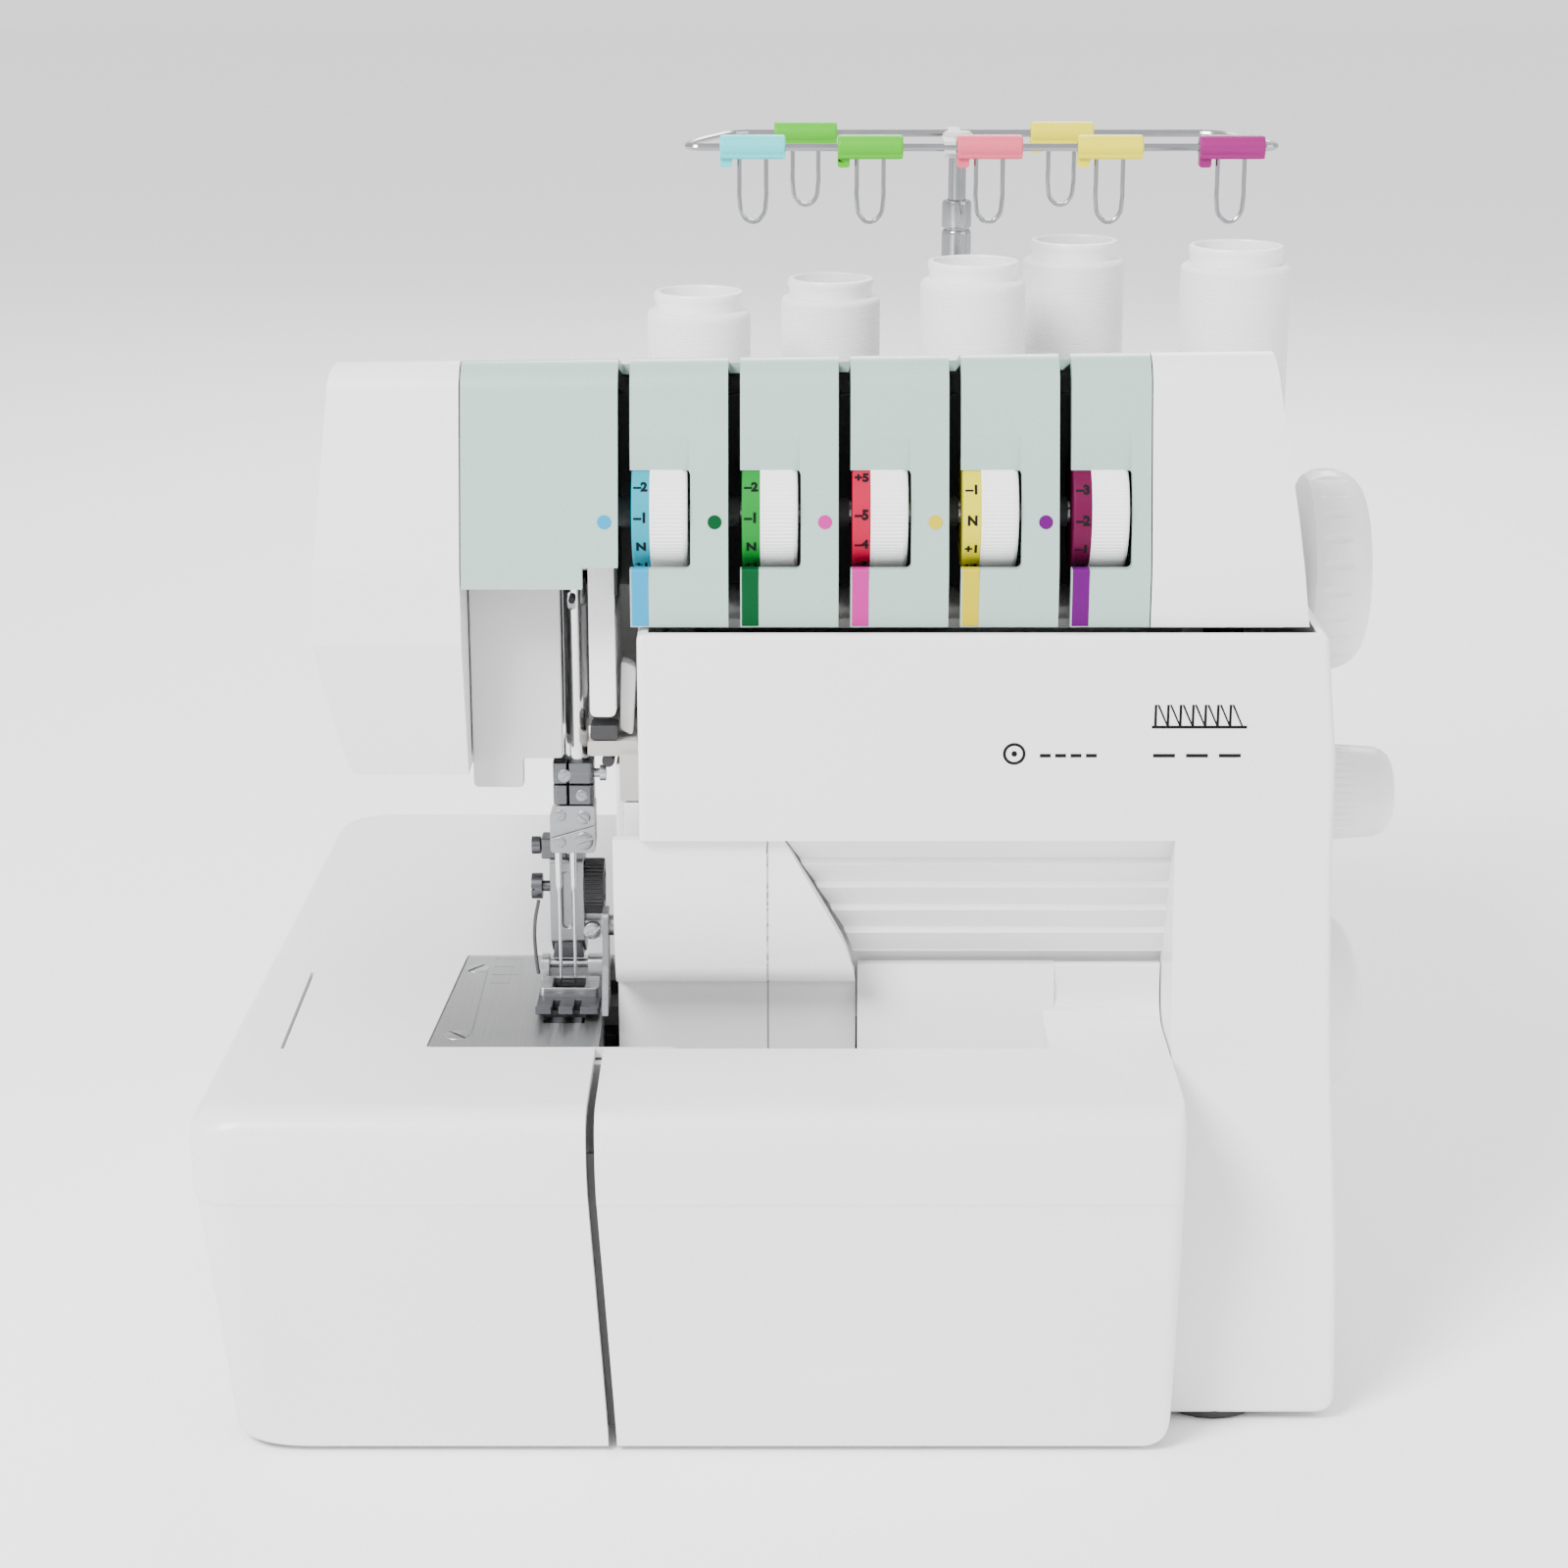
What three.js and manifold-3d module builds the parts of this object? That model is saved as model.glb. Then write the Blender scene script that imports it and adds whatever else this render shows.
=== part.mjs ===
// Five-thread overlock sewing machine (serger) with a telescopic thread stand, in millimetres.
// Seen from the front, +X is right, +Y is the back and +Z is up.
// The origin is under the middle of the machine's bounding box, on the table.
import * as THREE from "three";
import { mergeVertices } from "three/addons/utils/BufferGeometryUtils.js";
import Module from "manifold-3d";

const wasm = await Module();
wasm.setup();

// ---------- Driving dimensions ----------
const WALL = 3; // thickness of the moulded covers
const GAP = 0.4; // gap between two covers
const RUN = 0.3; // clearance round a shaft or pin

const RIGHTMOST = 169;
const HALF_DEPTH = 173;

const BED = {
  top: 102,
  bottom: 4,
  crease: 77,
  left: -169.35, // where the rounded front corner would be if it were sharp
  right: 98.5,
  front: -HALF_DEPTH,
  back: 105,
  round: 10,
};
const BODY = { left: -56.5, right: 137, top: 220, bottom: 5, front: -119, back: 100, upperBack: 70 };
const HEAD = { left: -136, seam: -97, bottom: 176, top: 292 };
const MINT_RIGHT = 90.4; // right edge of the tension cover
const PLATE = { left: -109, right: -61.3, front: -121.8, back: -46, top: 101.8, thick: 2.2 };
const PANEL = { left: -49, bottom: 161.6 }; // the front panel's overhang above the looper bay
const LIP_DEPTH = -100; // how far back the panel's lower lip reaches
const COLUMN_LEFT = 98.9;

const SLOT = { first: -52.4, pitch: 29.9, width: 3.3, count: 5 }; // thread slots of the tension cover
const DIAL = { radius: 17, width: 15.2, y: -97, z: 249.5 };

const ARM_SHAFT = { y: -30, z: 218 };
const LOWER_SHAFT = { y: -30, z: 62 };
const MOTOR = { y: 40, z: 55 };
const NEEDLE_BAR = { x: -67.7, y: -85, radius: 3.3 };
const PRESSER_BAR = { x: -72, y: -72, radius: 3 };
const FOOT_PIVOT = { y: -75, z: 110 };

const STAND = { left: -62, right: 160, front: 74, bottom: 184, thick: 5 };
const MAST = { x: 49, y: 127 };
const SPOOLS = [
  { x: -37, y: 95, top: 283, radius: 17 },
  { x: 7, y: 141, top: 281, radius: 17 },
  { x: 53, y: 95, top: 293, radius: 17.3 },
  { x: 90, y: 141, top: 294, radius: 17.3 },
  { x: 139, y: 95, top: 298, radius: 18 },
];
const GUIDE_Z = 328;
const GUIDE_FRONT_Y = 110;
const GUIDE_BACK_Y = 158;
const GUIDES = [
  { name: "thread_guide_1_blue", x: -19.3, y: GUIDE_FRONT_Y, color: 0x8be3e6 },
  { name: "thread_guide_2_green", x: 19.4, y: GUIDE_FRONT_Y, color: 0x63cc4a },
  { name: "thread_guide_3_pink", x: 58.7, y: GUIDE_FRONT_Y, color: 0xf79bb0 },
  { name: "thread_guide_4_yellow", x: 98.3, y: GUIDE_FRONT_Y, color: 0xf7de2d },
  { name: "thread_guide_5_purple", x: 138.3, y: GUIDE_FRONT_Y, color: 0xb01f8e },
  { name: "thread_guide_6_rear_green", x: -1.6, y: GUIDE_BACK_Y, color: 0x63cc4a },
  { name: "thread_guide_7_rear_yellow", x: 86.3, y: GUIDE_BACK_Y, color: 0xf7de2d },
];

// ---------- Solids ----------
const X = new THREE.Vector3(1, 0, 0);
const Y = new THREE.Vector3(0, 1, 0);
const Z = new THREE.Vector3(0, 0, 1);
// Each matrix lays a drawing on the plane across its axis: (Y, Z) for x, (X, Z) for y, (X, Y) for z.
const ACROSS = {
  x: new THREE.Matrix4().makeBasis(Y, Z, X),
  y: new THREE.Matrix4().makeBasis(X, Z, Y.clone().negate()),
  z: new THREE.Matrix4(),
};

// A closed geometry as a solid that can be cut and joined.
function solid(geometry) {
  const bare = geometry.index ? geometry.toNonIndexed() : geometry;
  const merged = mergeVertices(
    new THREE.BufferGeometry().setAttribute("position", bare.getAttribute("position")),
    1e-4,
  );
  const vertProperties = merged.attributes.position.array;
  const make = (triVerts) => new wasm.Manifold(new wasm.Mesh({ numProp: 3, vertProperties, triVerts }));
  const triangles = new Uint32Array(merged.index.array);
  const made = make(triangles);
  return made.volume() < 0 ? make(triangles.reverse()) : made;
}

function geometryOf(manifold) {
  const mesh = manifold.getMesh();
  const geometry = new THREE.BufferGeometry();
  geometry.setAttribute("position", new THREE.BufferAttribute(new Float32Array(mesh.vertProperties), 3));
  geometry.setIndex(new THREE.BufferAttribute(new Uint32Array(mesh.triVerts), 1));
  return geometry;
}

// A closed outline through corners [u, v, setback]; a corner with a setback is rounded.
function outline(corners) {
  const shape = new THREE.Shape();
  corners.forEach(([u, v, setback = 0], i) => {
    const towards = ([pu, pv]) => {
      const share = setback / Math.hypot(pu - u, pv - v);
      return [u + (pu - u) * share, v + (pv - v) * share];
    };
    const start = towards(corners.at(i - 1));
    if (i) shape.lineTo(...start);
    else shape.moveTo(...start);
    if (setback) shape.quadraticCurveTo(u, v, ...towards(corners[(i + 1) % corners.length]));
  });
  return shape;
}

// The outline drawn across an axis, as a prism along it.
function prism(axis, corners, from, to, curveSegments = 4) {
  const geometry = new THREE.ExtrudeGeometry(outline(corners), {
    depth: to - from,
    bevelEnabled: false,
    curveSegments,
  });
  geometry.translate(0, 0, axis === "y" ? -to : from);
  return solid(geometry.applyMatrix4(ACROSS[axis]));
}

function box(x0, x1, y0, y1, z0, z1) {
  const geometry = new THREE.BoxGeometry(x1 - x0, y1 - y0, z1 - z0);
  return solid(geometry.translate((x0 + x1) / 2, (y0 + y1) / 2, (z0 + z1) / 2));
}

// A turned solid: profile points are [radius, distance along the axis], closed through the axis.
function turned(axis, [a, b], profile, sides = 24) {
  const points = [[0, profile[0][1]], ...profile, [0, profile.at(-1)[1]]];
  const geometry = new THREE.LatheGeometry(
    points.map(([radius, along]) => new THREE.Vector2(radius, along)),
    sides,
  );
  if (axis === "x") geometry.rotateZ(-Math.PI / 2).translate(0, a, b);
  if (axis === "y") geometry.translate(a, 0, b);
  if (axis === "z") geometry.rotateX(Math.PI / 2).translate(a, b, 0);
  return solid(geometry);
}

function rod(axis, at, radius, from, to, sides = 16) {
  return turned(axis, at, [[radius, from], [radius, to]], sides);
}

// A round wire or tube through points.
function wire(points, radius, steps, sides = 6, tension = 0.5) {
  const path = new THREE.CatmullRomCurve3(points.map((p) => new THREE.Vector3(...p)), false, "catmullrom", tension);
  const section = new THREE.Shape();
  section.absarc(0, 0, radius, 0, 2 * Math.PI);
  return solid(
    new THREE.ExtrudeGeometry(section, { steps, curveSegments: sides / 2, extrudePath: path, bevelEnabled: false }),
  );
}

const join = (...solids) => solids.reduce((all, next) => all.add(next));

// ---------- Materials ----------
const finish = (color, roughness, metalness = 0) =>
  new THREE.MeshStandardMaterial({ color, roughness, metalness });
const WHITE = finish(0xf2f1f0, 0.38);
const MINT = finish(0xcfdfdb, 0.36);
const GREY = finish(0xd9d8d5, 0.45);
const DARK = finish(0x2c2d2f, 0.5);
const RUBBER = finish(0x26272a, 0.85);
const STEEL = finish(0xb9bcc0, 0.35, 1);
const CHROME = finish(0xd8dadd, 0.12, 1);
const CASTING = finish(0x9da0a3, 0.55, 0.8);
const THREAD = finish(0xf4f3f5, 0.8);

const machine = new THREE.Group();

function part(name, body, material, parent = machine) {
  const mesh = new THREE.Mesh(geometryOf(body), material);
  mesh.name = name;
  parent.add(mesh);
  return mesh;
}

// ---------- Bed: slide-off extension on the left, hinged looper cover on the right ----------
// The bed's outer form, pulled in on every side by inset, between two stations of X.
function bedForm(inset, xFrom, xTo, bottom = BED.bottom) {
  const front = BED.front + inset;
  const back = BED.back - inset;
  const left = BED.left + inset;
  const top = BED.top - inset;
  const sideView = [
    [front + 6, bottom],
    [front, BED.crease],
    [front, top, BED.round - inset / 2],
    [back, top, BED.round - inset / 2],
    [back, bottom],
  ];
  const frontView = [
    [left + 8, bottom, 7],
    [left, BED.crease],
    [left, top, BED.round - inset],
    [xTo, top],
    [xTo, bottom],
  ];
  const plan = [
    [left, front, 14],
    [xTo, front],
    [xTo, back],
    [left + 7, back, 14],
  ];
  return prism("x", sideView, xFrom, xTo)
    .intersect(prism("y", frontView, BED.front - 5, BED.back + 5))
    .intersect(prism("z", plan, -5, BED.top + 5));
}

// The wavy gap between extension and looper cover, as points [x, z] of its middle line.
const SPLIT = [
  [-60.7, 130],
  [-60.7, 96],
  [-60.4, 78],
  [-58.6, 46],
  [-56.3, 4],
  [-56.3, -10],
];
const SPLIT_HALF = 1.2;
const LOOPER_NOTCH = { right: 65.2, front: -123.4 };

function bedExtension() {
  const far = -40;
  const rightOfSplit = prism(
    "y",
    [...SPLIT.map(([x, z]) => [x - SPLIT_HALF, z]), [far, -10], [far, 130]],
    BED.front - 5,
    LOOPER_NOTCH.front + 0.8,
  );
  const guideSlit = box(-150, -149, -123.4, -61, 90, 110);
  return bedForm(0, BED.left, far)
    .subtract(bedForm(WALL, BED.left, far + 1, -6))
    .subtract(rightOfSplit)
    .subtract(box(PLATE.left - GAP, far, PLATE.front - GAP, PLATE.back + GAP, 90, 110))
    .subtract(box(BODY.left - GAP, far, PLATE.back, BED.back + 1, -1, 110))
    .subtract(guideSlit);
}
part("bed_extension", bedExtension(), WHITE);

// The looper cover's raised rear lip, its finger pocket and the fillet at its right.
const LIP = { y: -98, top: 118, left: 12 };

function looperCover() {
  const far = -75;
  const leftOfSplit = prism(
    "y",
    [...SPLIT.map(([x, z]) => [x + SPLIT_HALF, z]).reverse(), [far, 130], [far, -10]],
    BED.front - 5,
    BED.back,
  );
  const form = bedForm(0, far, BED.right).intersect(box(far, BED.right, BED.front - 1, LIP.y + WALL, 0, 200));
  const hollow = bedForm(WALL, far - 1, BED.right - WALL, -6);
  const notch = box(far, LOOPER_NOTCH.right, LOOPER_NOTCH.front, LIP.y + 20, 84, 130);
  const shell = form.subtract(hollow).subtract(notch).subtract(leftOfSplit);
  const filletCorners = [
    [-111, BED.top - WALL],
    [-111, BED.top],
    [LIP.y, BED.top, 9],
    [LIP.y, LIP.top, 1],
    [LIP.y + WALL, LIP.top],
    [LIP.y + WALL, BED.top - WALL],
  ];
  const fillet = prism("x", filletCorners, LOOPER_NOTCH.right, BED.right);
  const pocketCorners = [
    [LOOPER_NOTCH.front - WALL, BED.top - WALL / 2],
    [LOOPER_NOTCH.front - WALL, 80, 4],
    [LIP.y - 4, 80, 4],
    [LIP.y + WALL, LIP.top],
    [LIP.y, LIP.top],
    [LIP.y - 6, 84, 4],
    [LOOPER_NOTCH.front, 83, 3],
    [LOOPER_NOTCH.front, BED.top - WALL / 2],
  ];
  const pocket = prism("x", pocketCorners, LIP.left, LOOPER_NOTCH.right + WALL);
  const pocketEnd = box(
    LOOPER_NOTCH.right,
    LOOPER_NOTCH.right + WALL,
    LOOPER_NOTCH.front,
    LIP.y + WALL / 2,
    82,
    BED.top - 1,
  );
  const overTray = box(far, BED.right + 1, -153, 0, 0, 14.5);
  const rightEnd = prism("y", [[far, 0], [97, BED.bottom, 8], [BED.right, 60], [BED.right, 130], [far, 130]], -200, 0);
  return join(shell, fillet, pocket, pocketEnd).subtract(overTray).intersect(rightEnd);
}
part("looper_cover", looperCover(), WHITE);

// ---------- Body covers ----------
// Right edge of the body against height, the same for the front and rear covers.
const RIGHT_EDGE = [
  [BODY.right, BODY.top],
  [141.5, 186],
  [143.5, 98],
];
const BODY_LOW_RIGHT = 145.5;

function frontOfBody(inset) {
  const right = RIGHT_EDGE.map(([x, z]) => [x - inset, z]);
  const frontView = [
    [COLUMN_LEFT + inset, BODY.bottom - inset, inset ? 0 : 2],
    [BODY_LOW_RIGHT - inset, BODY.bottom - inset, 6],
    ...right.reverse(),
    [PANEL.left - 3 * inset, BODY.top],
    [PANEL.left - 3 * inset, PANEL.bottom + inset],
    [COLUMN_LEFT + inset, PANEL.bottom + inset],
  ];
  const sideView = [
    [-150 + inset, BODY.bottom - inset],
    [-147 + inset, 50, 20],
    [BODY.front + inset, 125, 40],
    [BODY.front + inset, BODY.top + inset, inset ? 0 : 3],
    [inset ? 5 : 0, BODY.top + inset],
    [inset ? 5 : 0, BODY.bottom - inset],
  ];
  return prism("y", frontView, -160, 10).intersect(prism("x", sideView, -60, 150));
}

// The curved guard above the looper bay, seen from the side.
const GUARD_TOP = 161;
const guardSideView = [
  [-116.5, GUARD_TOP],
  [-116, 138, 10],
  [-109, 116, 6],
  [-96, 113, 3],
  [-96, 84],
  [-93, 84],
  [-93, 116],
  [-106, 120],
  [-113, GUARD_TOP],
];
const GUARD_SEAM = -13.6;
// The ribbed panel starts along a curve that runs down to the right, points [x, z].
const RIB_CURVE = [
  [-9, GUARD_TOP],
  [-3, 150],
  [4, 137],
  [9, 126],
  [11.4, 112],
  [11.4, 80],
];

// Curved guard from the knives to the ribbed panel, with a fine upright groove in its face.
function curvedGuard() {
  const toCurve = [[BODY.left - 1, 80], [BODY.left - 1, GUARD_TOP + 1], ...RIB_CURVE];
  const slice = prism("x", guardSideView, GUARD_SEAM - 0.3, GUARD_SEAM + 0.3);
  return prism("x", guardSideView, BODY.left, 30)
    .intersect(prism("y", toCurve, -130, -80))
    .subtract(slice.subtract(slice.translate([0, 1.2, 0])));
}

// Five wide steps, each leaning back a little more than the panel as a whole.
function ribPanel() {
  const top = [-115.5, GUARD_TOP];
  const foot = [-99, 121.6];
  const ribs = 5;
  const face = [];
  for (let i = 0; i <= ribs; i++) {
    const [y, z] = [0, 1].map((k) => top[k] + ((foot[k] - top[k]) * i) / ribs);
    face.push([y + 1.6, z + 0.6], [y, z - 0.6]);
  }
  const sideView = [
    ...face.slice(1, -1),
    [foot[0] + 1.6, foot[1]],
    [foot[0] + 4, foot[1]],
    [top[0] + 4, top[1]],
  ];
  const leftOfCurve = [[-40, 80], [-40, GUARD_TOP + 5], [RIB_CURVE[0][0] - 0.5, GUARD_TOP + 5], ...RIB_CURVE];
  return prism("x", sideView, -12, COLUMN_LEFT - GAP).subtract(prism("y", leftOfCurve, -130, -80));
}

const shaftHole = rod("x", [ARM_SHAFT.y, ARM_SHAFT.z], 7, 120, 160);
const lengthDialHole = rod("x", [-60, 158], 5, 120, 160);
const feedDialHole = rod("x", [-45, 87], 5, 120, 160);
part(
  "front_cover",
  frontOfBody(0)
    .subtract(frontOfBody(WALL))
    .subtract(box(PANEL.left - 10, COLUMN_LEFT - 1, LIP_DEPTH, 5, 150, PANEL.bottom + WALL + 1))
    .subtract(box(COLUMN_LEFT - 1, COLUMN_LEFT + WALL + 0.5, -93, 5, 0, 215))
    .subtract(box(COLUMN_LEFT - 1, COLUMN_LEFT + WALL + 0.5, -147, 5, 0, 14.6))
    .subtract(shaftHole)
    .subtract(lengthDialHole)
    .subtract(feedDialHole),
  WHITE,
);

function rearOfBody(inset) {
  const frontView = [
    [BODY.left + inset, BODY.bottom - inset],
    [BODY_LOW_RIGHT - inset, BODY.bottom - inset, 6],
    ...RIGHT_EDGE.map(([x, z]) => [x - inset, z]).reverse(),
    [BODY.left + inset, BODY.top],
  ];
  const start = inset ? -5 : GAP;
  const sideView = [
    [start, BODY.bottom - inset],
    [BODY.back - inset, BODY.bottom - inset],
    [BODY.back - inset, 180 - inset, 10],
    [BODY.upperBack - inset, 180 - inset],
    [BODY.upperBack - inset, BODY.top + inset],
    [start, BODY.top + inset],
  ];
  return prism("y", frontView, -10, 120).intersect(prism("x", sideView, -60, 150));
}
const inletHole = box(130, 150, 58, 78, 29, 47);
const switchHole = box(130, 150, 24, 44, 29, 47);
part(
  "rear_cover",
  rearOfBody(0)
    .subtract(rearOfBody(WALL))
    .subtract(inletHole)
    .subtract(switchHole)
    .subtract(box(BODY.left - 1, BODY.left + WALL + 1, -1, BODY.back - WALL, 0, 14.6)),
  WHITE,
);

// The upper block's side view: front leaning back over the dials, top sloping down to the rear.
function upperSideView(inset, bottom) {
  const round = inset ? 1 : 3;
  return [
    [-111 + inset, bottom - (inset ? 1 : 0)],
    [-114 + inset, 236],
    [-100.5 + inset, 289 - inset, round],
    [-94, HEAD.top - inset, round],
    [BODY.upperBack - inset, 252 - inset, 8],
    [BODY.upperBack - inset, bottom - (inset ? 1 : 0)],
  ];
}

function tensionCover() {
  const bottom = BODY.top + 1;
  const left = HEAD.seam + GAP;
  const shell = prism("x", upperSideView(0, bottom), left, MINT_RIGHT)
    .subtract(prism("x", upperSideView(WALL, bottom), left - 1, MINT_RIGHT + 1))
    .intersect(box(left, MINT_RIGHT, -120, -62, bottom, 300));
  const raisedLeft = box(left - 1, SLOT.first, -120, -50, bottom - 1, 231.5);
  let cover = shell.subtract(raisedLeft);
  for (let i = 0; i < SLOT.count; i++) {
    const x = SLOT.first + i * SLOT.pitch;
    const right = x + SLOT.width / 2;
    cover = cover
      .subtract(box(x - SLOT.width / 2, right, -120, -70, 200, 300))
      .subtract(box(x, right + DIAL.width + 1.2, -120, -90, 236.4, 262.8))
      .subtract(rod("x", [DIAL.y, DIAL.z], DIAL.radius + 0.8, x, right + DIAL.width + 1.2, 28));
  }
  return cover;
}
part("tension_cover", tensionCover(), MINT);

function topCover() {
  const bottom = BODY.top + 1;
  const right = [
    [134, bottom],
    [130.5, 250],
    [123.5, HEAD.top + 3, 6],
  ];
  const frontView = (inset) => [
    [HEAD.seam + GAP - (inset ? 5 : 0), bottom - (inset ? 1 : 0)],
    ...right.map(([x, z, r]) => [x - inset, z - (z > 290 ? inset : 0), r]),
    [HEAD.seam + GAP - (inset ? 5 : 0), HEAD.top + 3],
  ];
  const form = (inset) =>
    prism("x", upperSideView(inset, bottom), HEAD.seam - 6, 140).intersect(
      prism("y", frontView(inset), -120, BODY.upperBack + 1),
    );
  const overMint = box(HEAD.seam - 6, MINT_RIGHT + GAP, -130, -62 + GAP, 200, 300);
  return form(0).subtract(form(WALL)).subtract(overMint).subtract(shaftHole);
}
part("top_cover", topCover(), WHITE);

function faceCover() {
  const frontView = (inset) => [
    [-129.7 + inset, HEAD.bottom + inset, 3],
    [HEAD.seam + 2 * inset, HEAD.bottom + inset],
    [HEAD.seam + 2 * inset, HEAD.top + 3 - inset],
    [-132 + inset, HEAD.top + 1 - inset, 9],
    [HEAD.left + inset, 216],
  ];
  const form = (inset) =>
    prism("x", upperSideView(inset, HEAD.bottom - 2 * inset), HEAD.left - 1, HEAD.seam + 6).intersect(
      prism("y", frontView(inset), -120, BODY.upperBack + 1),
    );
  return form(0).subtract(form(WALL));
}
part("face_cover", faceCover(), WHITE);

// Tray that closes the arm behind the needle bar, with the stepped panel to the bar's left and the
// guard in front of the thread take-up.
const INNER_PANEL = { y: -94, step: -82.4, right: -72.2, bottom: 169.5 };
const TAKEUP = { left: -63.2, right: -56, y: -95, bottom: 188.6, top: 229.5 };
const takeupOutline = [
  [TAKEUP.left, TAKEUP.bottom, 2],
  [TAKEUP.right, TAKEUP.bottom, 2],
  [TAKEUP.right, TAKEUP.top, 2],
  [TAKEUP.left, TAKEUP.top, 2],
];
const UNDER = { left: HEAD.seam + GAP, right: PANEL.left - GAP, front: -60, bottom: 178 };
part(
  "arm_under_cover",
  box(UNDER.left, UNDER.right, UNDER.front, BODY.upperBack, UNDER.bottom, 231)
    .subtract(
      box(
        UNDER.left + WALL,
        UNDER.right + 1,
        UNDER.front + WALL,
        BODY.upperBack - WALL,
        UNDER.bottom + WALL,
        240,
      ),
    )
    .subtract(box(BODY.left - GAP, UNDER.right + 1, -1, BODY.upperBack + 1, 170, 240))
    .subtract(box(UNDER.left - 1, UNDER.right + 1, -62, 80, BODY.top + 0.6, 240))
    .add(box(UNDER.left, -78, INNER_PANEL.y, UNDER.front + 1, UNDER.bottom, UNDER.bottom + WALL))
    .add(box(UNDER.left, INNER_PANEL.step, INNER_PANEL.y, INNER_PANEL.y + WALL, INNER_PANEL.bottom, 230.9))
    .add(box(UNDER.left, INNER_PANEL.right, INNER_PANEL.y, INNER_PANEL.y + WALL, UNDER.bottom, 230.9))
    .subtract(rod("y", [PRESSER_BAR.x, 201], 2.8, 60, 75))
    .add(box(TAKEUP.right - 2, TAKEUP.right, TAKEUP.y + 1, UNDER.front + 1, 192, 219))
    .add(prism("y", takeupOutline, TAKEUP.y - 2, TAKEUP.y + 2)),
  GREY,
);

part(
  "bay_guard",
  join(
    curvedGuard(),
    ribPanel(),
    box(BODY.left, BODY.left + WALL, -96, 0, 14.6, 176)
      .subtract(rod("x", [LOWER_SHAFT.y, LOWER_SHAFT.z], 9, BODY.left - 5, BODY.left + 5))
      .subtract(box(BODY.left - 5, BODY.left + 5, -59, -47, 83, 93)),
  ),
  WHITE,
);

// ---------- Base, feet and frame ----------
part(
  "base_tray",
  box(-111, 141.5, -146, 96.5, 5, 13.5).subtract(box(-108, 138.5, -143, 93.5, 8, 20)),
  WHITE,
);
const FOOT_RADIUS = 16;
const feet = {
  front_left: [-92, -127],
  front_right: [112, -133.5],
  rear_left: [-92, 76],
  rear_right: [120, 76],
};
for (const [corner, [x, y]] of Object.entries(feet)) {
  const body = turned("z", [0, 0], [[FOOT_RADIUS - 1.5, 0], [FOOT_RADIUS, 1.5], [FOOT_RADIUS, 4.7]], 20);
  part(`rubber_foot_${corner}`, body, RUBBER).position.set(x, y, 0);
}

function mainFrame() {
  const floor = box(-106, 136, -92, 92, 8.3, 14);
  const web = box(-44, 104, -90, -85, 13, 100);
  const bearingHoles = [ARM_SHAFT, LOWER_SHAFT].map(({ y, z }) => rod("x", [y, z], 4 + RUN, -120, 140));
  const posts = [box(-48.8, -43, -90, -12, 13, 228), box(103, 109, -84, -12, 13, 228)];
  const beam = box(-93, 109, -50, -44, 190, 214);
  const headPlate = box(-93, -88, -80, -20, 222, 266).add(box(-93, -88, -56, -20, 190, 224));
  const bushBlock = (z) => box(-92, -58, -92, -64, z, z + 8);
  const bars = [NEEDLE_BAR, PRESSER_BAR].map(({ x, y, radius }) => rod("z", [x, y], radius + RUN, 150, 300));
  const bedArm = box(-106, -46, -58, -48, 84, 90);
  const bedRail = box(-106, -98, -118, -48, 84, 90);
  const platePad = box(-105, -99, -58, -50, 89, 99.3).add(box(-105, -99, -118, -110, 89, 99.3));
  const cradle = box(40, 90, 24, 56, 13, 30.5);
  const tensionShaft = rod("x", [DIAL.y, DIAL.z], 3, -49.5, 95);
  const tensionBrackets = [-31.5, 92].map((x) =>
    box(x, x + 3, DIAL.y - 4, -44, 244, 255).add(box(x, x + 3, -50, -44, 205, 246)),
  );
  return [...bearingHoles, ...bars].reduce(
    (made, hole) => made.subtract(hole),
    join(
      floor,
      web,
      ...posts,
      beam,
      headPlate,
      bushBlock(232),
      bushBlock(256),
      bedArm,
      bedRail,
      platePad,
      cradle,
      tensionShaft,
      ...tensionBrackets,
    ),
  );
}
part("main_frame", mainFrame(), CASTING);

// Free arm under the extension, open above for the needle plate and towards the body.
part(
  "free_arm_casing",
  box(-114, BODY.left - GAP, -126, 58, 34, 98.6)
    .subtract(box(-111, -40, -123, 55, 37, 92))
    .subtract(box(-111, -40, -123, -42, 37, 110)),
  WHITE,
);

// ---------- Needle plate, knives, feed dogs and loopers ----------
const NEEDLE_HOLE = { x0: -76.5, x1: -66, y0: -90, y1: -82 };
const FEED = { x0: -78, x1: -66, main: [-79, -63], differential: [-103, -93] };
const plateOutline = [
  [PLATE.left, PLATE.front, 1.5],
  [PLATE.right, PLATE.front],
  [PLATE.right, PLATE.back],
  [PLATE.left + 4.6, PLATE.back, 1.5],
];
const plateHoles = join(
  box(NEEDLE_HOLE.x0, NEEDLE_HOLE.x1, NEEDLE_HOLE.y0, NEEDLE_HOLE.y1, 90, 110),
  box(FEED.x0, FEED.x1, ...FEED.main, 90, 110),
  box(FEED.x0, FEED.x1, ...FEED.differential, 90, 110),
);
part(
  "needle_plate",
  prism("z", plateOutline, PLATE.top - PLATE.thick, PLATE.top)
    .add(box(PLATE.right - 1.6, PLATE.right, -100, -88, 78, PLATE.top - 0.2))
    .subtract(plateHoles),
  STEEL,
);

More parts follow.
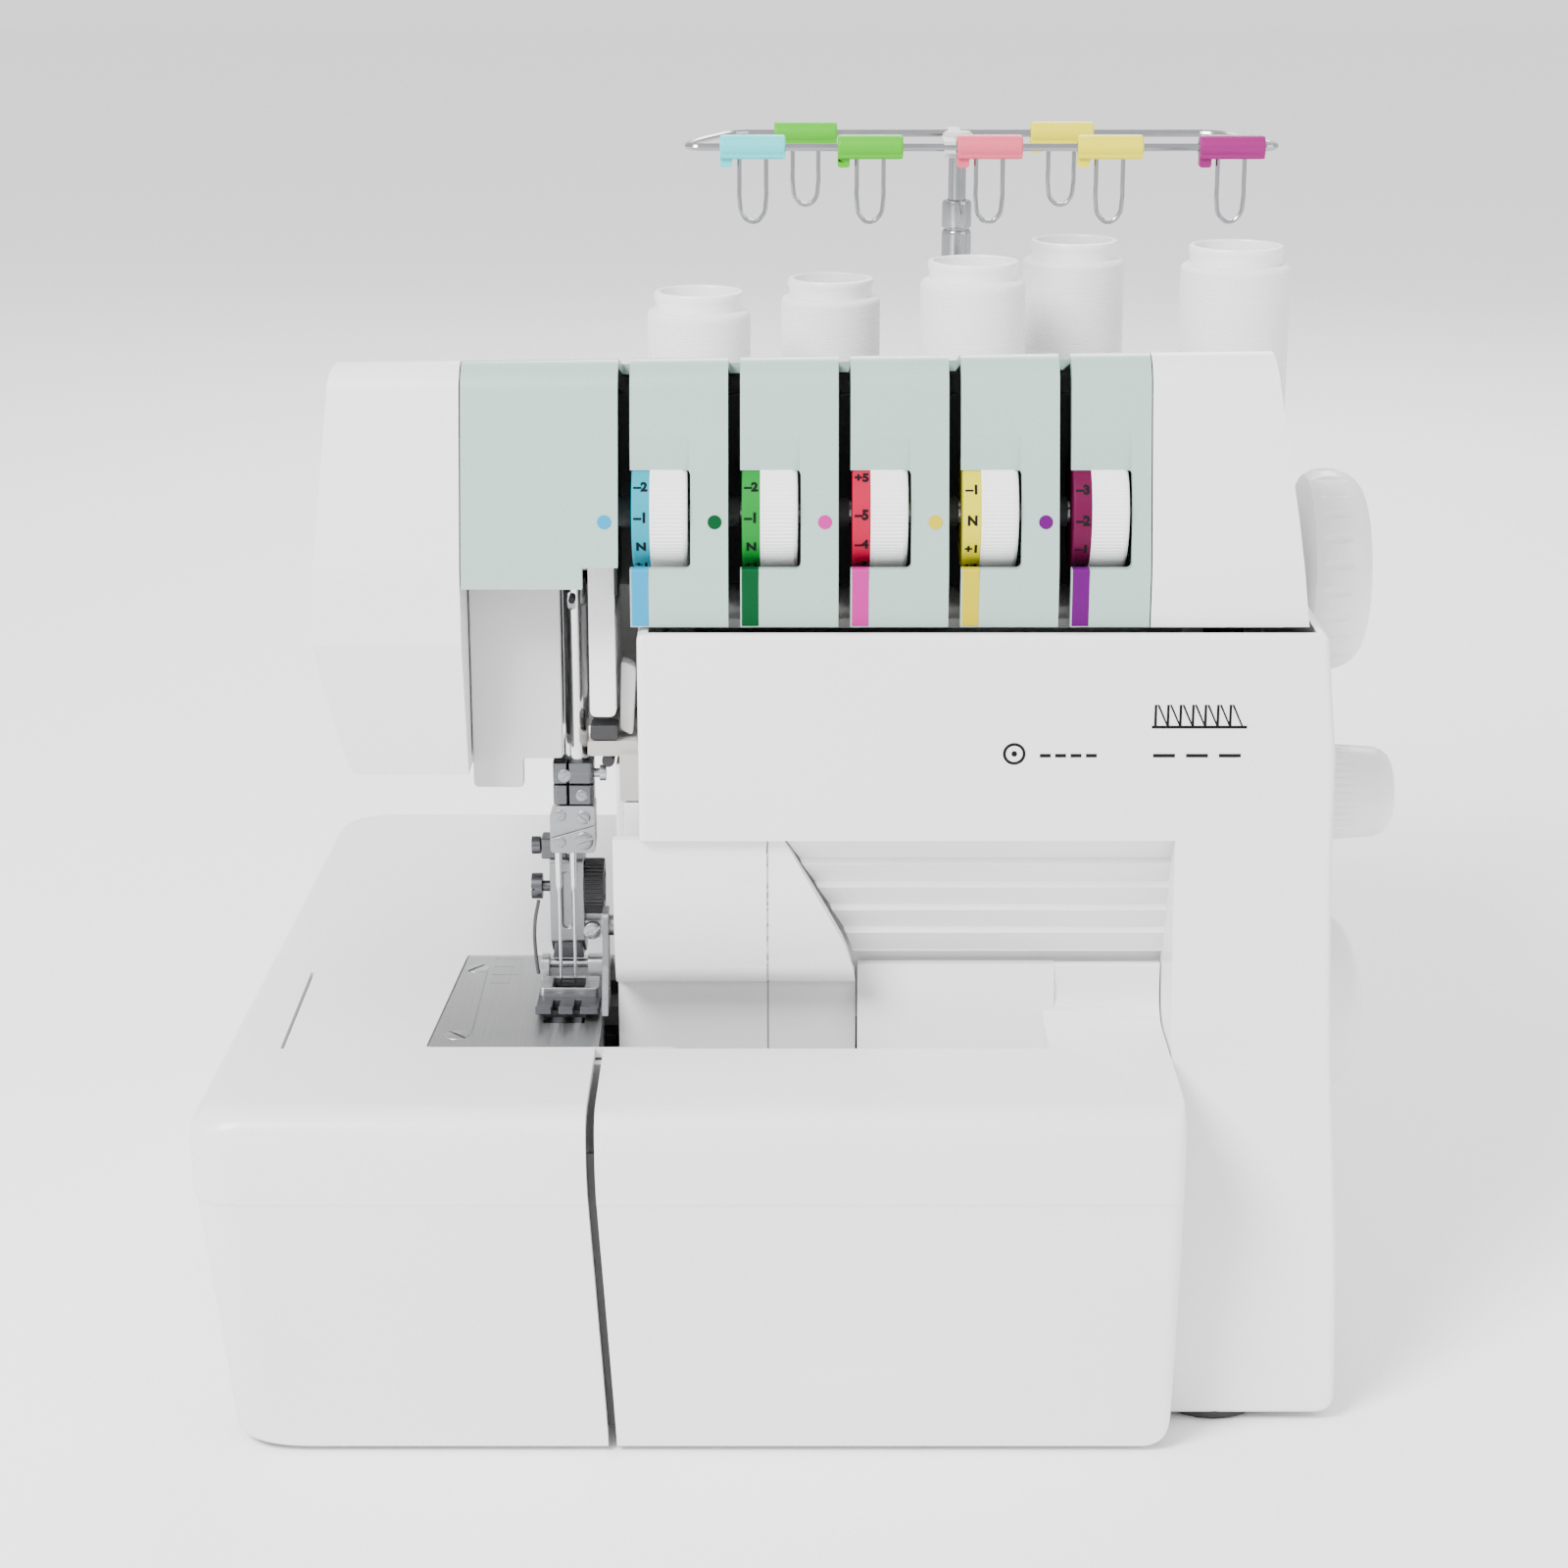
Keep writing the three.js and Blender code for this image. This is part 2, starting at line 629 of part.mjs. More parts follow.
// A feed dog: a saw-toothed bar on a foot, with travel room in its slot.
function feedDog(y0, y1) {
  const tooth = 2;
  const count = Math.floor((y1 - y0) / tooth);
  const teeth = [];
  for (let i = 0; i < count; i++) {
    teeth.push([y0 + i * tooth, 100.2], [y0 + i * tooth + 1.4, 101.4]);
  }
  const sideView = [...teeth, [y0 + count * tooth, 100.2], [y0 + count * tooth, 78], [y0, 78]];
  return prism("x", sideView, FEED.x0 + 1, FEED.x1 - 1);
}
part("feed_dog_main", feedDog(FEED.main[0] + 3, FEED.main[1] - 3), STEEL);
part("feed_dog_differential", feedDog(FEED.differential[0] + 2.4, FEED.differential[1] - 2.4), STEEL);

part(
  "upper_knife",
  prism(
    "x",
    [[-103, 104], [-90, 103], [-86, 118], [-86, 132], [-94, 132], [-97, 118]],
    PLATE.right + 0.3,
    PLATE.right + 2,
  ).add(rod("x", [-90, 127], 3, PLATE.right, PLATE.right + 4)),
  STEEL,
);

const LOWER_LOOPER = { x: -88, y: -106, z: 52 };
const UPPER_LOOPER = { x: -40, y: -112, z: 50 };
const looperHub = ({ x, y, z }) => rod("y", [x, z], 5, y - 2, y + 5);
part(
  "lower_looper",
  wire(
    [
      [LOWER_LOOPER.x, LOWER_LOOPER.y, LOWER_LOOPER.z + 2],
      [-94, LOWER_LOOPER.y, 68],
      [-93, LOWER_LOOPER.y, 80],
      [-86, LOWER_LOOPER.y, 85],
      [-74, LOWER_LOOPER.y, 86],
    ],
    1.4,
    14,
  ).add(looperHub(LOWER_LOOPER)),
  CHROME,
);
part(
  "upper_looper",
  wire(
    [
      [UPPER_LOOPER.x, UPPER_LOOPER.y, UPPER_LOOPER.z + 2],
      [-40, UPPER_LOOPER.y, 68],
      [-46, UPPER_LOOPER.y, 80],
      [-56, UPPER_LOOPER.y, 88],
      [-64, UPPER_LOOPER.y, 92],
    ],
    1.4,
    14,
  ).add(looperHub(UPPER_LOOPER)),
  CHROME,
);

// ---------- Needle bar and presser foot ----------
const CLAMP = { x0: -76, x1: -62.6, y0: -91, y1: -81, z0: 149, z1: 175.6 };
const NEEDLES = { needle_left: -73.6, needle_right: -69.4 };
const NEEDLE_Y = -87;
const needleBores = join(
  ...Object.values(NEEDLES).map((x) => rod("z", [x, NEEDLE_Y], 1 + RUN, 140, 162, 8)),
);
part(
  "needle_bar",
  rod("z", [NEEDLE_BAR.x, NEEDLE_BAR.y], NEEDLE_BAR.radius, CLAMP.z1 - 1, 282)
    .add(box(CLAMP.x0, CLAMP.x1, CLAMP.y0, CLAMP.y1, CLAMP.z0, CLAMP.z1))
    .subtract(needleBores),
  CHROME,
);
for (const [name, x] of Object.entries(NEEDLES)) {
  const profile = [[0.1, 108], [0.5, 113], [0.5, 136], [1, 138], [1, 161.6]];
  part(name, turned("z", [0, 0], profile, 8), CHROME).position.set(x, NEEDLE_Y, 0);
}

// The bar, the foot holder clamped to its end and the knurled thumbscrew that clamps it.
const thumbscrew = [[2, -4], [2, 0], [7.2, 0], [8.4, 1], [8.4, 5.2], [7.2, 6.2]];
part(
  "presser_bar",
  join(
    rod("z", [PRESSER_BAR.x, PRESSER_BAR.y], PRESSER_BAR.radius, 115, 272),
    box(-77, -67, -78.5, -66, 111.9, 143),
    turned("x", [PRESSER_BAR.y, 136.5], thumbscrew.map(([r, along]) => [r, along - 67.4]), 20),
  ),
  STEEL,
);

function presserFoot() {
  const sideView = [
    [-104, 104.6],
    [-92, 102.6],
    [-80, 102.2],
    [-75, 102.2],
    [-64, 104.3],
    [-64, 105.8],
    [-101, 105.8],
    [-104.5, 107.5],
  ];
  const sole = prism("x", sideView, -80, -62);
  const ears = join(box(-80, -77.6, -79, -71, 105, 112.5), box(-66.4, -62, -79, -71, 105, 112.5));
  const pin = rod("x", [FOOT_PIVOT.y, FOOT_PIVOT.z], 1.3, -79, -64, 12);
  const needleSlot = box(NEEDLE_HOLE.x0 + 0.5, NEEDLE_HOLE.x1 - 0.5, -90.5, -82, 100, 110);
  const toeGap = box(-73, -69.5, -110, -95, 100, 110);
  return join(sole.subtract(needleSlot).subtract(toeGap), ears, pin);
}
part("presser_foot", presserFoot(), STEEL);

part(
  "presser_lifter",
  prism("y", [[-77, 206], [-77, 196, 3], [-84, 188, 2], [-88, 150, 3], [-80, 149, 3], [-69, 194, 4], [-67, 206, 4]], 71, 76).add(
    rod("y", [PRESSER_BAR.x, 201], 2.4, 64, 72),
  ),
  GREY,
);

// ---------- Tension unit ----------
const DIAL_COLORS = [0x58c6e6, 0x2fae4e, 0xd8375a, 0xf5e02a, 0x6d1440];
const DIAL_NAMES = ["blue", "green", "pink", "yellow", "purple"];
for (let i = 0; i < SLOT.count; i++) {
  const start = SLOT.first + i * SLOT.pitch + SLOT.width / 2 + 0.4;
  const body = turned(
    "x",
    [0, 0],
    [[15.6, 0], [16.6, 0.6], [16.6, 5], [DIAL.radius, 5.2], [DIAL.radius, 14], [16, DIAL.width]],
    36,
  ).subtract(rod("x", [0, 0], 3 + RUN, -5, 20));
  part(`tension_dial_${i + 1}_${DIAL_NAMES[i]}`, body, finish(DIAL_COLORS[i], 0.4)).position.set(
    start,
    DIAL.y,
    DIAL.z,
  );
}

// ---------- Drive ----------
// Three pulleys in one plane, in the order the belt runs round them.
const PULLEYS = [
  { ...ARM_SHAFT, radius: 14 },
  { ...LOWER_SHAFT, radius: 14 },
  { ...MOTOR, radius: 7 },
];
const PULLEY_FROM = 118;
const PULLEY_TO = 127;
const pulley = ({ y, z, radius }) => rod("x", [y, z], radius, PULLEY_FROM, PULLEY_TO, 24);
part("arm_shaft", rod("x", [ARM_SHAFT.y, ARM_SHAFT.z], 4, -82, 150).add(pulley(PULLEYS[0])), STEEL);
part("lower_shaft", rod("x", [LOWER_SHAFT.y, LOWER_SHAFT.z], 4, -96, 132).add(pulley(PULLEYS[1])), STEEL);
part("motor_pulley", rod("x", [MOTOR.y, MOTOR.z], 2.5, 91, 119).add(pulley(PULLEYS[2])), STEEL);
part(
  "motor",
  rod("x", [MOTOR.y, MOTOR.z], 24, 34, 98, 24).subtract(rod("x", [MOTOR.y, MOTOR.z], 2.5 + RUN, 90, 99)),
  DARK,
);

// The area inside a belt's inner face or, with its thickness added, its outer face.
function beltArea(extra, from, to) {
  const centres = PULLEYS.map(({ y, z }) => [y, z]);
  const pieces = [prism("x", centres, from, to)];
  PULLEYS.forEach((a, i) => {
    const b = PULLEYS[(i + 1) % PULLEYS.length];
    const run = new THREE.Vector2(b.y - a.y, b.z - a.z);
    const angle = run.angle() - Math.acos((a.radius - b.radius) / run.length());
    const touch = ({ y, z, radius }) => [
      y + (radius + extra) * Math.cos(angle),
      z + (radius + extra) * Math.sin(angle),
    ];
    pieces.push(prism("x", [[a.y, a.z], touch(a), touch(b), [b.y, b.z]], from, to));
    pieces.push(rod("x", [a.y, a.z], a.radius + extra, from, to, 28));
  });
  return join(...pieces);
}
part("drive_belt", beltArea(2, 119, 126).subtract(beltArea(0.4, 118, 127)), RUBBER);

part(
  "handwheel",
  turned(
    "x",
    [0, 0],
    [[11, 139.6], [11, 143], [20, 143], [27, 144], [29.4, 147], [30, 151], [29.4, 155], [27, 159.5], [22, 162], [15, 162.6], [13.5, 161.4]],
    40,
  ).subtract(rod("x", [0, 0], 4 + RUN, 130, 150.4)),
  WHITE,
).position.set(0, ARM_SHAFT.y, ARM_SHAFT.z);

// ---------- Controls on the right side ----------
const knobStem = (length) => [[4, -length], [4, 0]];
part(
  "stitch_length_dial",
  turned("x", [0, 0], [...knobStem(8), [14.5, 0], [14.3, 6], [13.4, 22], [12, 25], [6, 26]], 32),
  WHITE,
).position.set(RIGHTMOST - 26, -60, 158);
part(
  "differential_feed_dial",
  turned("x", [0, 0], [...knobStem(8), [28.5, 0.2], [28.5, 6], [26, 12.5], [19, 17.8], [9, 20.6]], 36),
  WHITE,
).position.set(144.9, -45, 87);
part(
  "power_switch",
  prism("y", [[138.4, 30.4], [144.6, 30.4, 1], [147.6, 45.6, 1], [138.4, 45.6]], 25.6, 42.4),
  DARK,
);
part(
  "mains_inlet",
  box(131, 146.4, 59.6, 76.4, 30.6, 45.4)
    .subtract(box(134, 150, 62, 74, 33, 43))
    .add(box(133, 142, 64, 65, 36, 40))
    .add(box(133, 142, 71, 72, 36, 40)),
  DARK,
);

// ---------- Thread stand ----------
function spoolStand() {
  const plan = [
    [STAND.left, STAND.front, 6],
    [STAND.right, STAND.front, 14],
    [STAND.right, HALF_DEPTH, 30],
    [STAND.left, HALF_DEPTH, 30],
  ];
  const plate = prism("z", plan, STAND.bottom, STAND.bottom + STAND.thick);
  const feetOnLedge = [-30, 115].map((x) => box(x - 12, x + 12, 76, 94, 180.4, STAND.bottom + 1));
  const pins = SPOOLS.map(({ x, y }) => rod("z", [x, y], 3, STAND.bottom + 1, 246, 10));
  const mastSocket = rod("z", [MAST.x, MAST.y], 5 + RUN, STAND.bottom + 2, 220);
  return join(plate, ...feetOnLedge, ...pins).subtract(mastSocket);
}
part("spool_stand", spoolStand(), WHITE);

SPOOLS.forEach(({ x, y, top, radius }, i) => {
  const base = STAND.bottom + STAND.thick + 0.4;
  const height = top - base;
  const neck = radius * 0.84;
  const profile = [
    [radius - 1, 0],
    [radius, 1],
    [radius, height - 7],
    [radius - 1, height - 5.6],
    [neck, height - 5.4],
    [neck, height],
  ];
  const body = turned("z", [0, 0], profile, 24)
    .subtract(rod("z", [0, 0], 3.6, -1, height - 12, 12))
    .subtract(rod("z", [0, 0], neck - 2, height - 12.5, height + 1, 20));
  part(`thread_spool_${i + 1}`, body, THREAD).position.set(x, y, base);
});

const OUTER_TOP = 299;
const MIDDLE_TOP = 309;
part(
  "mast_outer_tube",
  rod("z", [0, 0], 5, STAND.bottom + 2.4, OUTER_TOP).subtract(rod("z", [0, 0], 4.3, STAND.bottom + 4, OUTER_TOP + 1)),
  CHROME,
).position.set(MAST.x, MAST.y, 0);
part(
  "mast_middle_tube",
  join(rod("z", [0, 0], 4, 192, OUTER_TOP + 1), rod("z", [0, 0], 5, OUTER_TOP + 0.4, MIDDLE_TOP)).subtract(
    rod("z", [0, 0], 3.3, 194, MIDDLE_TOP + 1),
  ),
  CHROME,
).position.set(MAST.x, MAST.y, 0);
part("mast_inner_rod", rod("z", [0, 0], 3, 196, 322.7), CHROME).position.set(MAST.x, MAST.y, 0);

// The carrier wire: straight in front, bowed behind, its ends clamped in the cross fitting on the mast.
const WIRE_RADIUS = 1.3;
const CARRIER = { left: -40.6, right: 153, tipY: 117, bend: 3.6 };
function threadGuideCarrier() {
  const z = GUIDE_Z;
  const innerLeft = CARRIER.left + CARRIER.bend;
  const innerRight = CARRIER.right - CARRIER.bend;
  // One pointed end, from the front wire round to the rear wire; inward is +1 on the left end.
  const end = (inner, inward) =>
    wire(
      [
        [inner, GUIDE_FRONT_Y, z],
        [inner - CARRIER.bend * inward, CARRIER.tipY - 3, z],
        [inner - CARRIER.bend * inward, CARRIER.tipY + 3, z],
        [inner + 5 * inward, GUIDE_BACK_Y - 13, z],
        [inner + 14.5 * inward, GUIDE_BACK_Y, z],
      ],
      WIRE_RADIUS,
      12,
      8,
    );
  return join(
    rod("x", [GUIDE_FRONT_Y, z], WIRE_RADIUS, innerLeft - 0.5, innerRight + 0.5, 8),
    rod("x", [GUIDE_BACK_Y, z], WIRE_RADIUS, innerLeft + 14, innerRight - 14, 8),
    end(innerLeft, 1),
    end(innerRight, -1),
    box(MAST.x - 5.4, MAST.x - 1.4, GUIDE_FRONT_Y - 2, MAST.y, z - 2, z + 2),
    box(MAST.x - 2, MAST.x + 2, MAST.y, GUIDE_BACK_Y + 2, z - 2, z + 2),
    rod("z", [MAST.x, MAST.y], 5, z - 5, z + 3.5),
  );
}
part("thread_guide_carrier", threadGuideCarrier(), CHROME);

// A clip sleeve on the carrier wire, with a tab and the wire eye that hangs from it.
function threadGuide() {
  const length = 21.5;
  const sleeve = rod("x", [0, 0], 4, -length / 2, length / 2, 14).subtract(
    rod("x", [0, 0], WIRE_RADIUS + RUN, -length, length, 8),
  );
  const tab = box(-length / 2, -length / 2 + 4, -2, 2, -6.5, -2.5);
  const eye = wire(
    [
      [-4.4, 0, -2.8],
      [-4.4, 0, -18],
      [-3.2, 0, -22.6],
      [0, 0, -24.4],
      [3.2, 0, -22.6],
      [4.4, 0, -18],
      [4.4, 0, -2.8],
    ],
    0.75,
    18,
  );
  return join(sleeve, tab, eye);
}
for (const { name, x, y, color } of GUIDES) {
  part(name, threadGuide(), finish(color, 0.4)).position.set(x, y, GUIDE_Z);
}

export default machine;
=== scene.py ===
"""Looks of the overlock sewing machine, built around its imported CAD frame.

Every piece is drawn in millimetres in the CAD's frame (+X right, +Y back, +Z up) and scaled to metres
when it is finished. An outline is a list of corners (u, v) or (u, v, setback). A setback rounds its corner.
A prism along x has outlines in (y, z), one along y in (x, z), and one along z in (x, y).
"""

import math

import bmesh
import bpy
from mathutils import Matrix, Vector


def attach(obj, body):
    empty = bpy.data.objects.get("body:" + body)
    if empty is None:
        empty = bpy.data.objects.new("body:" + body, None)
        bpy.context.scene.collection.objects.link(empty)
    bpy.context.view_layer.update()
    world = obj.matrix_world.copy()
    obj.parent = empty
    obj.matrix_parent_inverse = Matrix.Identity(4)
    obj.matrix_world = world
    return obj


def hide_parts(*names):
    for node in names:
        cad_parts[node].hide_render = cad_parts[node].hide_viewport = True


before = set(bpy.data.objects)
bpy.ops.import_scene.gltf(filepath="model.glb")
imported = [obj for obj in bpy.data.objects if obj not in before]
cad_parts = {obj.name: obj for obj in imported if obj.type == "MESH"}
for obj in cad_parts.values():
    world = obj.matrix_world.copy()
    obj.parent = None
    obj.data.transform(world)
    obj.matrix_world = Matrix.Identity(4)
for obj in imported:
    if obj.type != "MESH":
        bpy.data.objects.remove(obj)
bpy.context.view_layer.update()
MM = 0.001


def linked(name, data):
    """A new object in the scene."""
    made = bpy.data.objects.new(name, data)
    bpy.context.scene.collection.objects.link(made)
    return made


def preset(node, values):
    """Sets a shader node's inputs by name."""
    for key, value in values.items():
        node.inputs[key].default_value = value


# ---- camera, light and floor
def add_camera():
    camera = linked("camera", bpy.data.cameras.new("camera"))
    camera.data.lens = 74.25
    camera.data.sensor_width = 36
    camera.location = (-0.009, -0.969, 0.433)
    camera.rotation_euler = (math.radians(90 - 16.7), 0, 0)
    bpy.context.scene.camera = camera


def add_light(name, location, target, size, power):
    light = linked(name, bpy.data.lights.new(name, "AREA"))
    light.data.shape = "DISK"
    light.data.size = size
    light.data.energy = power
    light.location = location
    aim = Vector(target) - Vector(location)
    light.rotation_euler = aim.to_track_quat("-Z", "Y").to_euler()


def add_studio():
    world = bpy.data.worlds.new("studio")
    world.use_nodes = True
    preset(world.node_tree.nodes["Background"], {"Color": (1, 1, 1, 1), "Strength": 1.4})
    bpy.context.scene.world = world
    add_light("key", (-0.9, -1.1, 1.5), (0, 0, 0.12), 0.8, 70)
    add_light("fill", (1.3, -0.9, 0.8), (0, 0, 0.12), 1.2, 8)
    add_light("rim", (0.2, 1.4, 1.2), (0, 0, 0.2), 1.0, 20)

    bm = bmesh.new()
    bmesh.ops.create_grid(bm, x_segments=8, y_segments=8, size=6)
    mesh = bpy.data.meshes.new("floor")
    bm.to_mesh(mesh)
    bm.free()
    mesh.materials.append(new_material("floor_paper", (0.97, 0.97, 0.97), 0.9)[0])
    linked("floor", mesh)


# ---- materials
def new_material(name, color, roughness, metallic=0.0):
    material = bpy.data.materials.new(name)
    material.use_nodes = True
    shader = material.node_tree.nodes["Principled BSDF"]
    preset(shader, {"Base Color": (*color, 1), "Roughness": roughness, "Metallic": metallic})
    return material, shader


def object_texture(material, kind, values, stretch=(1, 1, 1)):
    """The Fac socket of a procedural texture in object coordinates, scale per metre."""
    nodes, links = material.node_tree.nodes, material.node_tree.links
    coordinates = nodes.new("ShaderNodeTexCoord")
    mapping = nodes.new("ShaderNodeMapping")
    texture = nodes.new(kind)
    preset(mapping, {"Scale": stretch})
    preset(texture, values)
    links.new(coordinates.outputs["Object"], mapping.inputs["Vector"])
    links.new(mapping.outputs["Vector"], texture.inputs["Vector"])
    return texture


def noise(material, scale, detail=2.0, stretch=(1, 1, 1)):
    values = {"Scale": scale, "Detail": detail}
    return object_texture(material, "ShaderNodeTexNoise", values, stretch).outputs["Fac"]


def tint(material, shader, source, dark, light):
    """Varies the base colour between dark and light by source."""
    ramp = material.node_tree.nodes.new("ShaderNodeValToRGB")
    for element, position, color in zip(ramp.color_ramp.elements, (0.35, 0.65), (dark, light)):
        element.position = position
        element.color = (*color, 1)
    material.node_tree.links.new(source, ramp.inputs["Fac"])
    material.node_tree.links.new(ramp.outputs["Color"], shader.inputs["Base Color"])


def gloss(material, shader, source, low, high):
    """Varies the roughness between low and high by source."""
    node = material.node_tree.nodes.new("ShaderNodeMapRange")
    preset(node, {"From Min": 0.3, "From Max": 0.7, "To Min": low, "To Max": high})
    material.node_tree.links.new(source, node.inputs["Value"])
    material.node_tree.links.new(node.outputs["Result"], shader.inputs["Roughness"])


def bump(material, shader, source, strength, distance):
    node = material.node_tree.nodes.new("ShaderNodeBump")
    preset(node, {"Strength": strength, "Distance": distance})
    material.node_tree.links.new(source, node.inputs["Height"])
    material.node_tree.links.new(node.outputs["Normal"], shader.inputs["Normal"])


def darker(color, share):
    return [c * share for c in color]


def plastic(name, color, roughness=0.36, grain=1500, depth=0.00004, coat=0.0, shine=0.5):
    """Moulded plastic: a fine spark-eroded grain, slight mottling and uneven gloss."""
    material, shader = new_material(name, color, roughness)
    fine = noise(material, grain, 3)
    tint(material, shader, noise(material, 9, 2), darker(color, 0.975), darker(color, 1.012))
    gloss(material, shader, fine, roughness - 0.05, roughness + 0.07)
    bump(material, shader, fine, 0.25, depth)
    preset(shader, {"Specular IOR Level": shine, "Coat Weight": coat, "Coat Roughness": 0.2})
    return material


def brushed(name, color, roughness=0.3, along=(60, 4000, 4000), depth=0.00003):
    """Brushed metal: scratches drawn out along the axis with the smallest stretch."""
    material, shader = new_material(name, color, roughness, 1.0)
    scratch = noise(material, 1.0, 4, along)
    tint(material, shader, noise(material, 30, 2), darker(color, 0.93), color)
    gloss(material, shader, scratch, roughness - 0.1, roughness + 0.1)
    bump(material, shader, scratch, 0.35, depth)
    return material


def polished(name, color, roughness=0.07):
    """Chrome or needle steel: near-mirror with faint smudges."""
    material, shader = new_material(name, color, roughness, 1.0)
    smudge = noise(material, 120, 4)
    tint(material, shader, smudge, darker(color, 0.96), color)
    gloss(material, shader, smudge, roughness, roughness + 0.08)
    return material


def cast(name, color, roughness=0.5):
    """Bare die casting: coarse pitted skin."""
    material, shader = new_material(name, color, roughness, 0.9)
    pits = noise(material, 700, 4)
    tint(material, shader, noise(material, 25, 3), darker(color, 0.85), color)
    gloss(material, shader, pits, roughness - 0.08, roughness + 0.12)
    bump(material, shader, pits, 0.5, 0.00015)
    return material


def yarn(name, color):
    """Wound sewing thread: fine turns around Z with a soft fuzz."""
    material, shader = new_material(name, color, 0.75)
    wave = object_texture(material, "ShaderNodeTexWave", {"Scale": 480, "Distortion": 2.5, "Detail": 2})
    wave.bands_direction = "Z"
    tint(material, shader, wave.outputs["Fac"], darker(color, 0.9), color)
    bump(material, shader, wave.outputs["Fac"], 0.5, 0.00018)
    preset(shader, {"Sheen Weight": 0.35, "Sheen Roughness": 0.5})
    return material


MATERIALS = {
    "white": plastic("white_shell", (0.80, 0.798, 0.796), 0.33, coat=0.15),
    "bright": plastic("bright_white", (0.86, 0.86, 0.858), 0.3, coat=0.2),
    "mint": plastic("mint_shell", (0.32, 0.445, 0.408), 0.3, coat=0.25),
    "grey": plastic("light_grey", (0.55, 0.547, 0.543), 0.42),
    "beige": plastic("warm_grey", (0.42, 0.40, 0.37), 0.45),
    "dark": plastic("black_plastic", (0.018, 0.018, 0.02), 0.42),
    # Near-black for pieces put inside slots, holes and gaps: painted shade standing in for the shadow
    # there.
    "slot": plastic("painted_shade_interior", (0.012, 0.016, 0.016), 0.6),
    "rubber": plastic("rubber", (0.02, 0.02, 0.022), 0.75, grain=900, depth=0.0001),
    "ink": plastic("printed_ink", (0.006, 0.006, 0.007), 0.7, shine=0.1),
    "steel": brushed("brushed_steel", (0.48, 0.485, 0.5), 0.32),
    "plate": brushed("plate_steel", (0.46, 0.465, 0.475), 0.46, (2600, 40, 2600), 0.000012),
    "worn_steel": brushed("worn_steel", (0.30, 0.305, 0.315), 0.36),
    "dark_steel": brushed("blackened_steel", (0.12, 0.124, 0.132), 0.33),
    "chrome": polished("chrome", (0.66, 0.665, 0.68)),
    "tube": polished("tube_chrome", (0.33, 0.335, 0.35), 0.12),
    "casting": cast("die_casting", (0.46, 0.465, 0.47)),
    "thread": yarn("white_thread", (0.85, 0.85, 0.865)),
}
# The material slot of the part that each material stands for.
SLOTS = {
    **dict.fromkeys(("white", "bright"), "white_cover"),
    **dict.fromkeys(("grey", "beige"), "grey_cover"),
    **dict.fromkeys(("dark", "slot", "ink"), "dark_plastic"),
    **dict.fromkeys(("steel", "plate", "worn_steel", "dark_steel"), "brushed_steel"),
    **dict.fromkeys(("chrome", "tube"), "chrome"),
    "mint": "mint_cover",
    "rubber": "rubber",
    "casting": "casting",
    "thread": "thread",
}
# Colour of each thread path: scale band on the dial, stripe under it, clip of the thread guide.
PATH_COLORS = {
    "blue": ((0.0, 0.26, 0.35), (0.0, 0.25, 0.46), (0.05, 0.56, 0.6)),
    "green": ((0.0, 0.19, 0.02), (0.0, 0.055, 0.014), (0.05, 0.38, 0.0)),
    "pink": ((0.36, 0.001, 0.03), (0.40, 0.015, 0.21), (0.66, 0.085, 0.15)),
    "yellow": ((0.58, 0.52, 0.0), (0.48, 0.39, 0.0), (0.70, 0.62, 0.0)),
    "purple": ((0.085, 0.0, 0.03), (0.09, 0.0, 0.11), (0.22, 0.0, 0.12)),
}
NAMES = list(PATH_COLORS)
for _name, (_dial, _stripe, _clip) in PATH_COLORS.items():
    MATERIALS["dial_" + _name] = plastic("dial_" + _name, _dial, 0.5, shine=0.15)
    MATERIALS["stripe_" + _name] = plastic("stripe_" + _name, _stripe, 0.5, shine=0.1)
    MATERIALS["clip_" + _name] = plastic("clip_" + _name, _clip, 0.4, coat=0.1, shine=0.3)
    SLOTS["dial_" + _name] = SLOTS["stripe_" + _name] = _name + "_scale"
    SLOTS["clip_" + _name] = _name + "_clip"


# ---- solids, in millimetres
PLACE = {
    "x": lambda u, v, w: (w, u, v),
    "y": lambda u, v, w: (u, w, v),
    "z": lambda u, v, w: (u, v, w),
}


def outline(corners, steps=10):
    """The closed outline through corners, rounded where a corner has a setback."""
    points = []
    for i, corner in enumerate(corners):
        here = Vector(corner[:2])
        setback = corner[2] if len(corner) > 2 else 0
        if not setback:
            points.append(here)
            continue
        before = Vector(corners[i - 1][:2])
        after = Vector(corners[(i + 1) % len(corners)][:2])
        start = here + (before - here).normalized() * setback
        end = here + (after - here).normalized() * setback
        for k in range(steps + 1):
            t = k / steps
            points.append(start * (1 - t) ** 2 + here * (2 * t * (1 - t)) + end * t**2)
    return points


def rect(u0, u1, v0, v1, setback=0):
    return [(u0, v0, setback), (u1, v0, setback), (u1, v1, setback), (u0, v1, setback)]


def smooth_curve(points, steps=8):
    """Catmull-Rom points through the given ones."""
    made = []
    for i in range(len(points) - 1):
        p = [Vector(points[max(0, min(len(points) - 1, i + k - 1))]) for k in range(4)]
        for k in range(steps):
            t = k / steps
            a = 2 * p[1] + (p[2] - p[0]) * t
            b = (2 * p[0] - 5 * p[1] + 4 * p[2] - p[3]) * t * t
            c = (3 * p[1] - p[0] - 3 * p[2] + p[3]) * t**3
            made.append(tuple((a + b + c) / 2))
    made.append(tuple(points[-1]))
    return made


def around(at, radius, count):
    """count points on a circle round at."""
    angles = [2 * math.pi * k / count for k in range(count)]
    return [(at[0] + radius * math.cos(a), at[1] + radius * math.sin(a)) for a in angles]


